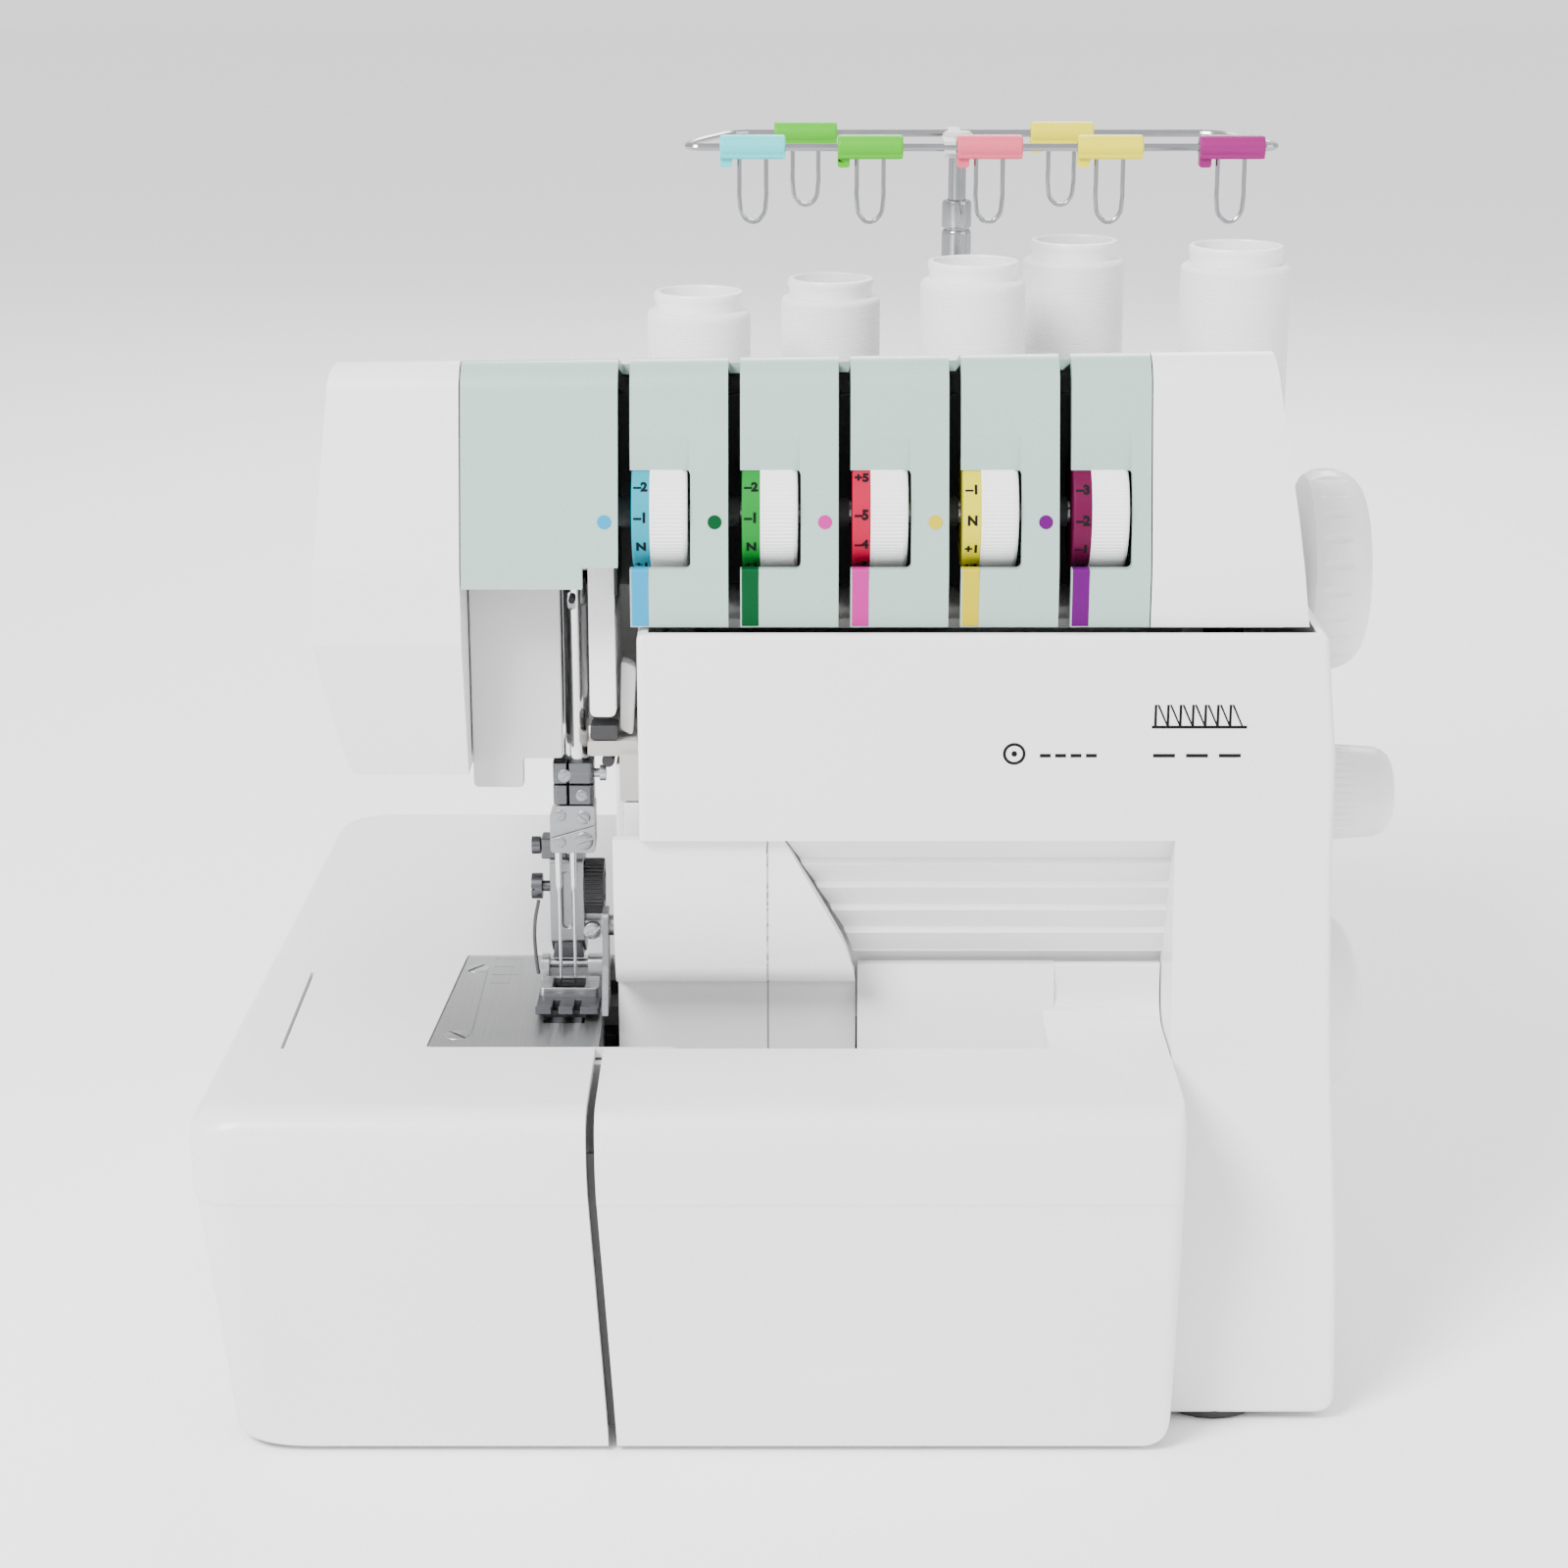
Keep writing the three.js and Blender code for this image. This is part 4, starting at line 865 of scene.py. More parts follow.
def make_tension_dial(i):
    name = NAMES[i]
    body = f"tension_dial_{i + 1}"
    node = f"{body}_{name}"
    start = slot_x(i) + SLOT_WIDTH / 2 + 0.4
    band_profile = [(14.6, 0), (15.0, 0.15), (BAND_RADIUS, 0.6), (BAND_RADIUS, 4.95)]
    band = turned("x", DIAL_AXIS, [(r, start + w) for r, w in band_profile], 128)
    cut(band, rod("x", DIAL_AXIS, 3.3, start - 1, start + 8))
    finish(band, node + "_band", body, "dial_" + name, node)

    radii = (DIAL_RADIUS - 0.24,) * 2 + (DIAL_RADIUS,) * 2
    knurl = prism("x", star_ring(DIAL_AXIS, radii, 90), start + 5, start + 14)
    rim_profile = [(15.3, 13.9), (15.3, 14.5), (14.9, 15), (14.2, DIAL_WIDTH)]
    rim = turned("x", DIAL_AXIS, [(r, start + w) for r, w in rim_profile], 96)
    collar = turned("x", DIAL_AXIS, [(15.55, start + 5), (15.55, start + 5.8)], 96)
    fuse(knurl, rim, collar)
    cut(knurl, rod("x", DIAL_AXIS, 3.3, start - 1, start + 18))
    finish(knurl, node + "_rim", body, "bright", smooth=20)

    labels = []
    for k in range(-5, 6):
        text = f"{k:+d}".replace("-", "–") if k else "N"
        angle = math.radians((DIAL_FRONT[i] - k) * DIAL_STEP + DIAL_TURN[i])
        out = Vector((0, -math.cos(angle), math.sin(angle)))
        up = Vector((0, math.sin(angle), math.cos(angle)))
        place = Matrix((Vector((1, 0, 0)), up, out)).transposed().to_4x4()
        place.translation = Vector((start + 2.6, *DIAL_AXIS)) + out * BAND_RADIUS
        labels.append(moved(label(text, 3.6), place))
    finish(gather(*labels), node + "_labels", body, "ink", smooth=30)


def make_under_cover():
    """The arm's underside tray and its stepped inner panel."""
    left, right, front = SEAM_RIGHT, PANEL_LEFT - 0.4, -60
    tray = box(left, right, front, UPPER_BACK, 178, 220.6)
    cut(tray, box(left + WALL, right + 1, front + WALL, UPPER_BACK - WALL, 181, 240))
    cut(tray, box(BODY_LEFT - 0.4, right + 1, -1, UPPER_BACK + 1, 170, 240))
    fuse(tray, box(left, -78, -90.8, front + 1, 178, 181))
    cut(tray, rod("y", (-72, 201), 2.8, 60, 75))
    finish(tray, "arm_tray", "machine", "grey", "arm_under_cover", edge=0.5)
    panel_view = [
        (left, 169.5, 1.5), (-82.4, 169.5, 1.5), (-82.4, 178, 1), (-71.3, 178, 1),
        (-71.3, 230.9), (left, 230.9),
    ]
    panel = prism("y", panel_view, -94, -91, 5)
    finish(panel, "arm_inner_panel", "machine", "grey", "arm_under_cover", edge=0.5)


def make_takeup():
    """The thread take-up with the guard in front of it."""
    node = "arm_under_cover"
    guard = fuse(prism("y", rect(-63.2, -56, 191, 236, 2), -97, -93, 6), box(-58, -56, -94, -59, 192, 219))
    finish(guard, "takeup_guard", "machine", "bright", node, edge=0.6)
    bracket = fuse(
        prism("y", rect(-64.2, -50, 179, 183.4, 1), -95, -60, 4),
        box(-55.2, -49.8, -97.5, -60, 166.5, 180),
    )
    finish(bracket, "takeup_bracket", "machine", "beige", node, edge=0.4)
    lever_view = [(-55.2, 186, 1), (-51.6, 184, 1.4), (-50.4, 204, 1.6), (-54.6, 206, 1.6)]
    finish(prism("y", lever_view, -92, -86, 5), "takeup_lever", "machine", "grey", node, edge=0.4)
    pad = fuse(
        prism("y", rect(-63.4, -55.6, 183.8, 188, 1), -95.5, -88, 4),
        rod("y", (-58.6, 177), 1.8, -93.5, -64, 24),
    )
    finish(pad, "takeup_pad", "machine", "dark", node, edge=0.3)


# ---- needle plate, knives and stitching parts
PLATE_TOP = 101.8
NEEDLE_XS, NEEDLE_Y = (-73.6, -69.4), -87


def make_needle_plate():
    plan = [(-109, -121.8, 1.5), (-61.3, -121.8), (-61.3, -46), (-104.4, -46, 1.5)]
    plate = soften(prism("z", plan, PLATE_TOP - 2.2, PLATE_TOP), 0.25, 40, 2)
    cut(
        plate,
        prism("z", rect(-76.5, -66, -90, -82, 1), 90, 110, 4),
        box(-78, -66, -79, -63, 90, 110),
        box(-78, -66, -103, -93, 90, 110),
    )
    screws = [(-100.9, -57.0), (-101.7, -112.2)]
    for at in screws:
        cut(plate, turned("z", at, [(2, 98), (2, 100.8), (4.1, 102)], 48))
    groove = PLATE_TOP - 0.25
    for k in range(5):
        y = -70 + k * 7
        cut(plate, box(-96, -90 + 2 * (k % 2), y, y + 0.35, groove, 103))
    cut(plate, box(-97.6, -97.2, -112, -60, groove, 103))
    fuse(plate, box(-62.9, -61.3, -100, -88, 78, PLATE_TOP - 0.2))
    finish(plate, "needle_plate_steel", "machine", "plate", "needle_plate")
    head_profile = [(1.6, 98.4), (1.6, 100.9), (3.7, 101.75), (3.5, 101.95), (0.05, 102.05)]
    heads = [
        cut(turned("z", at, head_profile, 48), prism("z", driver_slot(at, angle, 5, 0.45), 101.1, 103))
        for at, angle in zip(screws, (0.9, -0.8))
    ]
    finish(gather(*heads), "needle_plate_screws", "machine", "steel", edge=0.08)


def make_needle_unit():
    unit = "needle_unit"
    bar = turned("z", (-67.7, -85), [(3.1, 174.6), (3.3, 175), (3.3, 281.6), (2.9, 282)], 48)
    cut(bar, prism("y", rect(-69.6, -67.2, 219.7, 224.6, 1.1), -92, -84, 6))
    finish(bar, "needle_bar_rod", unit, "chrome", "needle_bar")
    # Near-black plug in the bar's slot: painted shade inside the hole.
    hole = rod("y", (-68.4, 222.1), 1.0, -87.3, -84.4, 24)
    finish(hole, "needle_bar_hole_shade", unit, "slot", edge=0.1)

    collar = prism("z", rect(-74.6, -63, -90.4, -81.4, 1.5), 163.2, 175.6, 5)
    cut(collar, box(-70.6, -70, -92, -86, 162, 177), box(-76, -62, -92, -80, 168.9, 169.4))
    finish(collar, "clamp_collar", unit, "dark_steel", edge=0.5)
    block_view = [(-75.6, 149, 1.2), (-62.8, 149, 1.2), (-62.8, 163, 1.0), (-73.6, 163, 1.0), (-75.6, 160)]
    block = prism("y", block_view, -91, -81.4, 4)
    cut(block, *[rod("z", (x, NEEDLE_Y), 1.15, 140, 158, 24) for x in NEEDLE_XS])
    cut(block, prism("y", [(-76.5, 153), (-62, 157.2), (-62, 157.8), (-76.5, 153.6)], -92, -90.3))
    finish(block, "clamp_block", unit, "worn_steel", edge=0.5)

    # Clamp screws: (x, z), radius, y of the face, turn.
    screws = [
        ((-71.2, 171.8), 1.9, -90.3, 0.6),
        ((-66.4, 165.9), 1.7, -90.3, -0.4),
        ((-72.6, 160.2), 1.7, -90.9, 0.9),
        ((-66.0, 159.6), 2.0, -90.9, -0.7),
        ((-65.9, 152.6), 2.6, -90.9, 0.35),
        ((-72.7, 152.2), 1.6, -90.9, 1.4),
    ]
    heads = [screw_head("y", at, radius, face, -1, turn) for at, radius, face, turn in screws]
    finish(gather(*heads), "clamp_screws", unit, "worn_steel", edge=0.06)
    side_screw = headed_rod("x", (-86, 171.5), (1.3, -63.4, -60.6, 24), (2.3, -61.4, -59.6, 32))
    finish(side_screw, "clamp_side_screw", unit, "steel", edge=0.2)

    profile = [(0.06, 108), (0.28, 109.4), (0.46, 112.5), (0.48, 136), (1.0, 138.2), (1.0, 161.6)]
    for side, x in zip(("left", "right"), NEEDLE_XS):
        needle = turned("z", (x, NEEDLE_Y), profile, 24)
        cut(needle, box(x - 0.12, x + 0.12, -87.7, -87.25, 112, 136))
        cut(needle, rod("y", (x, 113.2), 0.17, -89, -85, 12))
        finish(needle, f"needle_{side}_blade", unit, "chrome", f"needle_{side}")


def headed_rod(axis, at, shank, head):
    """A rod with a wider head. Each of the two is (radius, start, end, sides)."""
    return fuse(rod(axis, at, *shank), rod(axis, at, *head))


PRESSER_AXIS = (-72, -72)
THUMBSCREW_AXIS = (-72, 132.9)


def make_presser():
    bar = "presser_bar"
    presser_rod = turned("z", PRESSER_AXIS, [(2.8, 115), (3, 115.4), (3, 271.6), (2.6, 272)], 40)
    finish(presser_rod, "presser_rod", bar, "chrome", bar)
    holder_side = [(-78.4, 118), (-78.4, 143, 1.5), (-66, 143, 1.5), (-66, 112.2), (-71, 112.2, 1)]
    holder = prism("x", holder_side, -77, -67, 5)
    cut(holder, prism("y", rect(-73.4, -70.6, 122, 139, 1.4), -80, -77.2, 5))
    finish(holder, "foot_holder", bar, "worn_steel", bar, edge=0.5)
    jaw = prism("y", [(-76.6, 112.4), (-67.4, 112.4), (-68.4, 119, 1), (-75.6, 119, 1)], -77.5, -67, 4)
    finish(jaw, "foot_holder_jaw", bar, "dark_steel", bar, edge=0.4)

    knob = soften(prism("x", star_ring(THUMBSCREW_AXIS, (8.4, 7.65), 40), -67.1, -61.4), 0.3, 60, 1)
    cut(knob, rod("x", THUMBSCREW_AXIS, 4.6, -62.2, -60, 40))
    fuse(knob, turned("x", THUMBSCREW_AXIS, [(3, -63), (3, -61.4), (2, -61.2)], 32))
    finish(knob, "foot_thumbscrew", bar, "dark", bar, smooth=25)

    upper = headed_rod("x", (-74.6, 146.2), (1.4, -81.4, -72, 24), (2.6, -82.2, -79.6, 32))
    lower = headed_rod("x", (-75.4, 134), (1.6, -79.4, -76, 24), (3.8, -82.4, -79.2, 40))
    cut(lower, box(-83, -81.4, -80, -70, 133.6, 134.4))
    cap = box(-79.4, -72, -77, -70, 142.6, 148.8)
    finish(gather(upper, lower), "foot_side_screws", bar, "dark_steel", edge=0.2)
    finish(cap, "foot_holder_cap", bar, "dark_steel", edge=0.5)
    wire = [(-80.2, -79.6, 131), (-81.4, -80.6, 124), (-81.2, -81, 114), (-80.6, -81.4, 109)]
    finish(tube_path(wire, 0.55), "foot_thread_wire", bar, "dark_steel")
    at = (-64.9, 121)
    screw = fuse(
        screw_head("y", at, 2.5, -78.2, -1, 0.5),
        rod("y", at, 1.4, -78.6, -70, 24),
        box(-67.6, -62.6, -76.6, -70, 118.4, 123.6),
    )
    finish(screw, "foot_height_screw", bar, "steel", edge=0.15)


def foot_opening():
    return prism("z", rect(-76, -66.5, -90.5, -82, 1), 100, 110, 4)


def make_presser_foot():
    foot = "presser_foot"
    profile = [
        (-104.2, 104.9, 0.5), (-100, 103.2), (-92, 102.4), (-80, 102.2), (-75, 102.2),
        (-64, 104.3, 0.8), (-64, 106, 0.8), (-92, 105.6), (-101, 105.9), (-104.5, 107.5, 0.8),
    ]
    toes = [box(x, x + 2, -110, -94, 100, 110) for x in (-75.4, -69.2)]
    sole = cut(prism("x", profile, -80, -62, 5), foot_opening(), *toes)
    finish(sole, "foot_sole", foot, "dark_steel", foot, edge=0.3)
    bridge = prism("z", rect(-79.4, -62.6, -91.6, -81, 1.2), 105.3, 108.2, 4)
    finish(cut(bridge, foot_opening()), "foot_bridge", foot, "steel", foot, edge=0.35)
    ear_side = [(-79, 105), (-71, 105), (-72, 112.5, 2), (-78, 112.5, 2)]
    ears = [prism("x", ear_side, *span, 5) for span in ((-80, -77.6), (-66.4, -62))]
    pin = rod("x", (-75, 110), 1.3, -79.6, -63, 24)
    finish(gather(*ears, pin), "foot_ears", foot, "steel", foot, edge=0.25)


def make_upper_knife():
    side = [(-103, 104), (-90, 103), (-86, 118, 2), (-86, 132, 2), (-94, 132, 2), (-97, 118, 2)]
    knife = prism("x", side, -61, -59.3, 4)
    cut(knife, prism("x", rect(-92, -89, 107, 115, 0.8), -62, -58, 4))
    fuse(knife, rod("x", (-90, 127), 3, -61.3, -57.3, 32))
    finish(knife, "upper_knife_blade", "upper_knife", "worn_steel", "upper_knife", edge=0.15)


def make_presser_lifter():
    view = [
        (-77, 206, 1), (-77, 196, 3), (-84, 188, 2), (-88, 150, 3),
        (-80, 149, 3), (-69, 194, 4), (-67, 206, 1),
    ]
    lifter = soften(prism("y", view, 71, 76, 6), 1.2)
    fuse(lifter, rod("y", (-72, 201), 2.4, 64, 72, 32))
    for k in range(4):
        z = 153 + k * 3
        cut(lifter, box(-87.2 + k * 0.2, -80, 75.6, 77, z, z + 1))
    finish(lifter, "lifter_lever", "presser_lifter", "grey", "presser_lifter", edge=0.15)


# ---- controls on the right
def make_handwheel():
    outer = [
        (11, 139.6), (11, 142.6), (11.6, 143), (20, 143), (25.5, 143.5), (28, 144.8),
        (29.3, 147), (29.85, 149), (30, 151), (29.85, 153), (29.3, 155.2), (28.4, 157.4),
        (27, 159.3), (25, 160.9), (22.5, 161.9), (19.5, 162.4), (15.4, 162.6), (14.6, 162.2),
        (14.2, 161.6), (13.6, 161.2), (0.1, 161.0),
    ]
    wheel = turned("x", HANDWHEEL_AXIS, outer, 128)
    for centre in around(HANDWHEEL_AXIS, 31.2, 24):
        cut(wheel, rod("x", centre, 2.0, 146.5, 155.5, 16))
    cut(wheel, rod("x", HANDWHEEL_AXIS, 4.3, 130, 150.4))
    finish(wheel, "handwheel_rim", "upper_drive", "white", "handwheel", smooth=28)
    cap_profile = [(12.6, 160.4), (12.6, 161.4), (12.0, 162), (6, 162.6), (0.1, 162.6)]
    cap = turned("x", HANDWHEEL_AXIS, cap_profile, 96)
    finish(cap, "handwheel_cap", "upper_drive", "grey", "handwheel", smooth=28)


def make_stitch_dial():
    at = STITCH_AXIS
    crown = [(9, 168.6), (6, 169), (0.1, 169)]
    taper = [(16, 143), (14.4, 146), (13.3, 163.2), (12.6, 165.8), (11.2, 167.6), *crown]
    core = [(13.5, 145.8), (13.0, 163.2), (12.4, 165.8), (11, 167.6), *crown]
    radii = (13.65, 13.65, 14.1, 14.1)
    grip = common(prism("x", star_ring(at, radii, 40), 145.8, 164.5), turned("x", at, taper, 96))
    skirt = turned("x", at, [(14.2, 143), (14.5, 143.3), (14.5, 145.5), (14.1, 146)], 96)
    stem = turned("x", at, [(4, 135), (4, 143.2)], 40)
    knob = fuse(grip, turned("x", at, core, 96), skirt, stem)
    finish(knob, "stitch_dial_knob", "stitch_length_dial", "white", "stitch_length_dial", smooth=26)


def make_feed_dial():
    outer = [
        (4, 136.9), (4, 144.9), (27.6, 144.95), (28.3, 145.4), (28.5, 146.2),
        (28.5, 150.6), (28.2, 151.8), (27.6, 153.2), (26, 157.1), (23.6, 159.8),
        (20.8, 161.8), (17, 163.4), (13, 164.6), (8, 165.3), (0.1, 165.5),
    ]
    dial = turned("x", FEED_AXIS, outer, 128)
    for centre in around(FEED_AXIS, 29.2, 36):
        cut(dial, rod("x", centre, 1.2, 145.8, 151.6, 12))
    node = "differential_feed_dial"
    finish(dial, "feed_dial_wheel", node, "white", node, smooth=28)


def make_switch_and_inlet():
    view = [(138.4, 30.4), (144.4, 30.4, 1), (145.3, 38, 2), (147.6, 45.6, 1), (138.4, 45.6)]
    rocker = prism("y", view, 25.6, 42.4, 6)
    finish(rocker, "switch_rocker", "power_switch", "dark", "power_switch", edge=0.4)
    marks = [box(145.2, 145.62, 33.6, 34.4, 33, 36), box(146.3, 146.9, 33, 35, 42.2, 42.8)]
    finish(gather(*marks), "switch_marks", "power_switch", "bright", edge=0.05)
    shell = soften(box(131, 146.4, 59.6, 76.4, 30.6, 45.4), 1.0)
    cut(shell, prism("x", rect(62, 74, 33, 43, 2), 134, 150, 4))
    fuse(shell, *[box(133, 142, y, y + 1, 36, 40) for y in (64, 71)])
    finish(shell, "inlet_socket", "machine", "dark", "mains_inlet", edge=0.12)


# ---- thread stand
STAND_BOTTOM, STAND_THICK = 184, 5
MAST = (49, 127)
# Spools: x, y, top, radius.
SPOOLS = [
    (-37, 95, 283, 17), (7, 141, 281, 17), (53, 95, 293, 17.3),
    (90, 141, 294, 17.3), (139, 95, 298, 18),
]
GUIDE_Z, GUIDE_FRONT, GUIDE_BACK = 328, 110, 158
GUIDES = [
    ("thread_guide_1_blue", -19.3, GUIDE_FRONT, "blue"),
    ("thread_guide_2_green", 19.4, GUIDE_FRONT, "green"),
    ("thread_guide_3_pink", 58.7, GUIDE_FRONT, "pink"),
    ("thread_guide_4_yellow", 98.3, GUIDE_FRONT, "yellow"),
    ("thread_guide_5_purple", 138.3, GUIDE_FRONT, "purple"),
    ("thread_guide_6_rear_green", -1.6, GUIDE_BACK, "green"),
    ("thread_guide_7_rear_yellow", 86.3, GUIDE_BACK, "yellow"),
]


def make_spool_stand():
    node = "spool_stand"
    plan = [(-62, 74, 6), (160, 74, 14), (160, 173, 30), (-62, 173, 30)]
    plate = soften(prism("z", plan, STAND_BOTTOM, STAND_BOTTOM + STAND_THICK, 12), 1.4)
    places = [(x, y) for x, y, _, _ in SPOOLS]
    for at in places:
        cut(plate, rod("z", at, 19.2, 188.4, 190, 64))
    fuse(plate, *[box(x - 12, x + 12, 76, 94, 180.4, STAND_BOTTOM + 1) for x in (-30, 115)])
    cut(plate, rod("z", MAST, 5.3, 186, 220, 48))
    finish(plate, "stand_plate", "machine", "white", node, edge=0.3)
    pads = [rod("z", at, 18.8, 187.4, 188.9, 64) for at in places]
    finish(gather(*pads), "stand_pads", "machine", "grey", edge=0.2)
    pin_profile = [(3, 188), (3, 236), (2.6, 242), (1.6, 245.4), (0.1, 246)]
    pins = [turned("z", at, pin_profile, 24) for at in places]
    finish(gather(*pins), "stand_pins", "machine", "grey", node)
    socket = turned("z", MAST, [(5.35, 189), (9, 189), (9, 190.4), (7, 194), (5.35, 194)], 48)
    cut(socket, rod("z", MAST, 5.05, 180, 200, 48))
    finish(socket, "stand_socket", "machine", "grey", node)


def make_spool(i):
    x, y, top, radius = SPOOLS[i]
    at = (x, y)
    body, node = f"spool_{i + 1}", f"thread_spool_{i + 1}"
    base = STAND_BOTTOM + STAND_THICK + 0.4
    neck, shoulder = radius * 0.84, top - 7.2
    profile = [(radius - 1.2, base + 0.6), (radius - 0.2, base + 1.6)]
    for k in range(2 * int((shoulder - base - 2) / 0.9)):
        profile.append((radius - (0 if k % 2 else 0.11), base + 2 + k * 0.45))
    profile += [
        (radius - 0.2, shoulder), (radius - 0.7, shoulder + 0.7),
        (radius - 1.6, shoulder + 1.1), (neck - 0.2, shoulder + 1.25),
    ]
    cone = turned("z", at, profile, 96)
    cut(cone, rod("z", at, 3.6, base - 1, top, 32), rod("z", at, neck - 1.9, top - 12.5, top + 1, 48))
    finish(cone, node + "_thread", body, "thread", node, smooth=40)
    # Tube profiles as (radius beyond the neck, height above the top).
    outside = [(-0.2, -10.2), (-0.05, -3.2), (0.35, -2.4), (0.45, -0.8), (0.1, -0.15), (-0.5, 0)]
    inside = [(-1.9, -11.2), (-1.9, -0.8), (-1.2, 0.1), (-1.2, 2)]
    tube = cut(
        turned("z", at, [(neck + r, top + z) for r, z in outside], 96),
        turned("z", at, [(neck + r, top + z) for r, z in inside], 64),
    )
    finish(tube, node + "_tube", body, "bright", node, smooth=40)
    foot_profile = [(radius - 1.0, base), (radius - 0.6, base + 0.3), (radius - 0.6, base + 0.9)]
    foot = cut(turned("z", at, foot_profile, 64), rod("z", at, 3.6, base - 1, base + 4, 32))
    finish(foot, node + "_base", body, "bright", node, smooth=40)


def make_mast():
    outer = turned("z", MAST, [(5, 186.4), (5, 297.8), (4.85, 298.6), (4.5, 299)], 64)
    cut(outer, rod("z", MAST, 4.3, 188, 300, 48))
    finish(outer, "mast_lower_tube", "machine", "tube", "mast_outer_tube")
    middle_profile = [
        (4, 192), (4, 299.6), (4.7, 299.7), (5, 300.2), (5, 307.6), (4.7, 308.6), (4.2, 309),
    ]
    middle = cut(turned("z", MAST, middle_profile, 64), rod("z", MAST, 3.3, 194, 312, 48))
    finish(middle, "mast_middle_sleeve", "mast_middle", "tube", "mast_middle_tube")
    inner = turned("z", MAST, [(2.7, 196), (3, 196.4), (3, 322.7)], 48)
    finish(inner, "mast_top_rod", "mast_top", "tube", "mast_inner_rod")


def carrier_side(inner, inward):
    """Points of one side of the wire loop, front to back. inward is +1 on the left, -1 on the right."""
    plan = [
        (0, GUIDE_FRONT), (-2.8, GUIDE_FRONT + 1.4), (-3.6, 115), (-3.0, 121),
        (5, GUIDE_BACK - 13), (9.5, GUIDE_BACK - 3.6), (15.5, GUIDE_BACK),
    ]
    return [(inner + x * inward, y, GUIDE_Z) for x, y in plan]


def make_carrier():
    node = "thread_guide_carrier"
    left, right = -37, 149.4
    loop = tube_path([*reversed(carrier_side(left, 1)), *carrier_side(right, -1)], 1.3, 16)
    rear = tube_path([(x, GUIDE_BACK, GUIDE_Z) for x in (left + 15, 49, right - 15)], 1.3, 16)
    finish(gather(loop, rear), "carrier_wire", "mast_top", "tube", node)
    x, y = MAST
    low, high = GUIDE_Z - 2, GUIDE_Z + 2
    hub_profile = [(4.4, GUIDE_Z - 5), (5, GUIDE_Z - 4.4), (5, GUIDE_Z + 2.6), (4.2, GUIDE_Z + 3.5)]
    hub = fuse(
        turned("z", MAST, hub_profile, 48),
        box(x - 5.4, x - 1.4, GUIDE_FRONT - 2, y, low, high),
        box(x - 2, x + 2, y, GUIDE_BACK + 2, low, high),
    )
    finish(hub, "carrier_hub", "mast_top", "grey", node, edge=0.5)


def make_guide(name, x, y, color):
    half = 10.75
    end = [(4, half - 1.2), (3.85, half - 0.4), (3.4, half)]
    sleeve = turned("x", (0, 0), [*[(r, -w) for r, w in reversed(end)], *end], 48)
    flat_side = [(-3.4, -3.6, 0.8), (3.4, -3.6, 0.8), (3.4, 0), (-3.4, 0)]
    flat = prism("x", flat_side, -half + 0.2, half - 0.2, 4)
    tab_view = [(-half, -6.5, 1.0), (-half + 4, -6.5, 1.0), (-half + 4, -2), (-half, -2)]
    fuse(sleeve, flat, prism("y", tab_view, -2, 2, 4))
    cut(sleeve, rod("x", (0, 0), 1.6, -20, 20, 24))
    moved(sleeve, Matrix.Translation((x, y, GUIDE_Z)))
    finish(sleeve, name + "_clip", "mast_top", "clip_" + color, name, edge=0.25)
    left_side = [(-4.4, -2.8), (-4.4, -12), (-4.3, -18), (-3.3, -22.3)]
    points = [*left_side, (0, -24.4), *[(-u, v) for u, v in reversed(left_side)]]
    eye = tube_path([(x + u, y, GUIDE_Z + v) for u, v in points], 0.75, 16)
    finish(eye, name + "_eye", "mast_top", "tube", name)


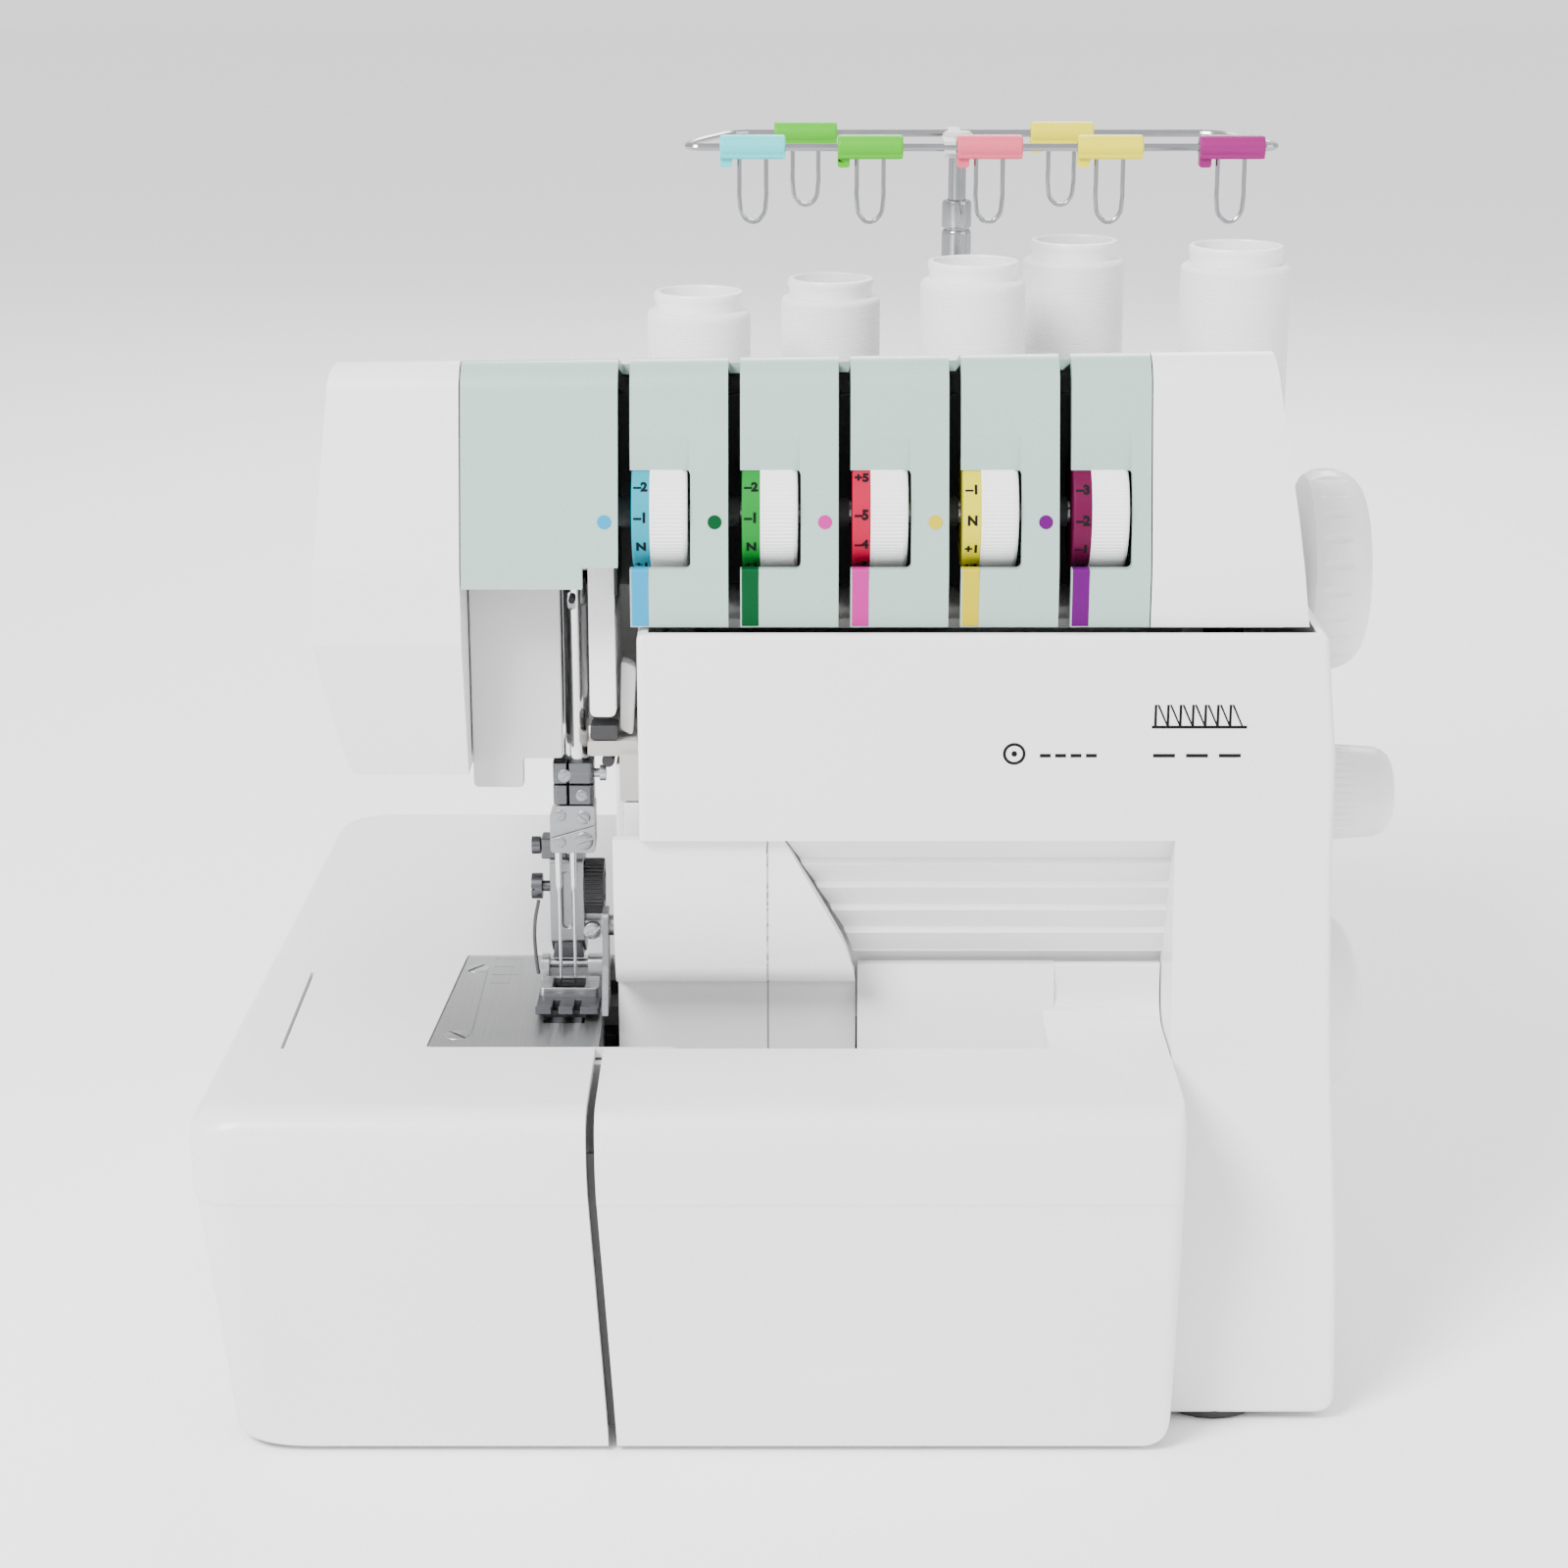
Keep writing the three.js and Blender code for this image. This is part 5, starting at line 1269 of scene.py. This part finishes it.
# ---- printing on the front panel
def make_printing():
    """A generic stitch pictogram and scale marks, raised 0.1 mm from the panel."""
    raised, root = BODY_FRONT - 0.1, BODY_FRONT + 0.3
    strokes = []
    for k in range(7):
        x = 92 + k * 3.4
        slant = [(x + 0.7, 200.5), (x + 3.4, 194.5), (x + 3.9, 194.5), (x + 1.3, 200.5)]
        strokes.append(box(x, x + 0.7, raised, root, 194.5, 200.5))
        strokes.append(prism("y", slant, BODY_FRONT - 0.08, root))
    strokes.append(box(91.4, 117.4, raised, root, 193.8, 194.6))
    dashes = [(92 + k * 9, 6) for k in range(3)] + [(61 + k * 4.2, 3) for k in range(4)]
    strokes += [box(x, x + length, raised, root, 185.6, 186.6) for x, length in dashes]
    knob = (54, 186.6)
    inside = rod("y", knob, 2.3, BODY_FRONT - 1, BODY_FRONT + 1, 48)
    strokes.append(cut(rod("y", knob, 3.1, raised, root, 48), inside))
    strokes.append(rod("y", knob, 0.8, raised, root, 24))
    finish(gather(*strokes), "panel_printing", "machine", "ink")


def make_machine():
    make_bed_extension()
    make_looper_cover()
    make_front_cover()
    make_rear_cover()
    make_bay_guard()
    make_face_cover()
    make_top_cover()
    make_tension_cover()
    make_scale_marks()
    make_tension_shade_linings()
    for i in range(SLOT_COUNT):
        make_tension_dial(i)
    make_under_cover()
    make_takeup()
    make_needle_plate()
    make_needle_unit()
    make_presser()
    make_presser_foot()
    make_upper_knife()
    make_presser_lifter()
    make_handwheel()
    make_stitch_dial()
    make_feed_dial()
    make_switch_and_inlet()
    make_spool_stand()
    for i in range(len(SPOOLS)):
        make_spool(i)
    make_mast()
    make_carrier()
    for guide in GUIDES:
        make_guide(*guide)
    make_printing()


# Nodes whose CAD shape is right: (node, body, material, edge).
DRESSED = [
    ("base_tray", "machine", "white", 0.5),
    ("free_arm_casing", "machine", "white", 0.6),
    ("main_frame", "machine", "casting", 0.4),
    ("motor", "machine", "dark", 0.8),
    ("drive_belt", "machine", "rubber", 0.2),
    ("arm_shaft", "upper_drive", "steel", 0.3),
    ("lower_shaft", "lower_drive", "steel", 0.3),
    ("motor_pulley", "motor_rotor", "steel", 0.3),
    ("feed_dog_main", "main_feed", "dark_steel", 0.1),
    ("feed_dog_differential", "differential_feed", "dark_steel", 0.1),
    ("upper_looper", "upper_looper", "chrome", 0.0),
    ("lower_looper", "lower_looper", "chrome", 0.0),
    *[(f"rubber_foot_{place}", "machine", "rubber", 0.4)
      for place in ("front_left", "front_right", "rear_left", "rear_right")],
]

add_camera()
add_studio()
make_machine()
for _entry in DRESSED:
    dress(*_entry)
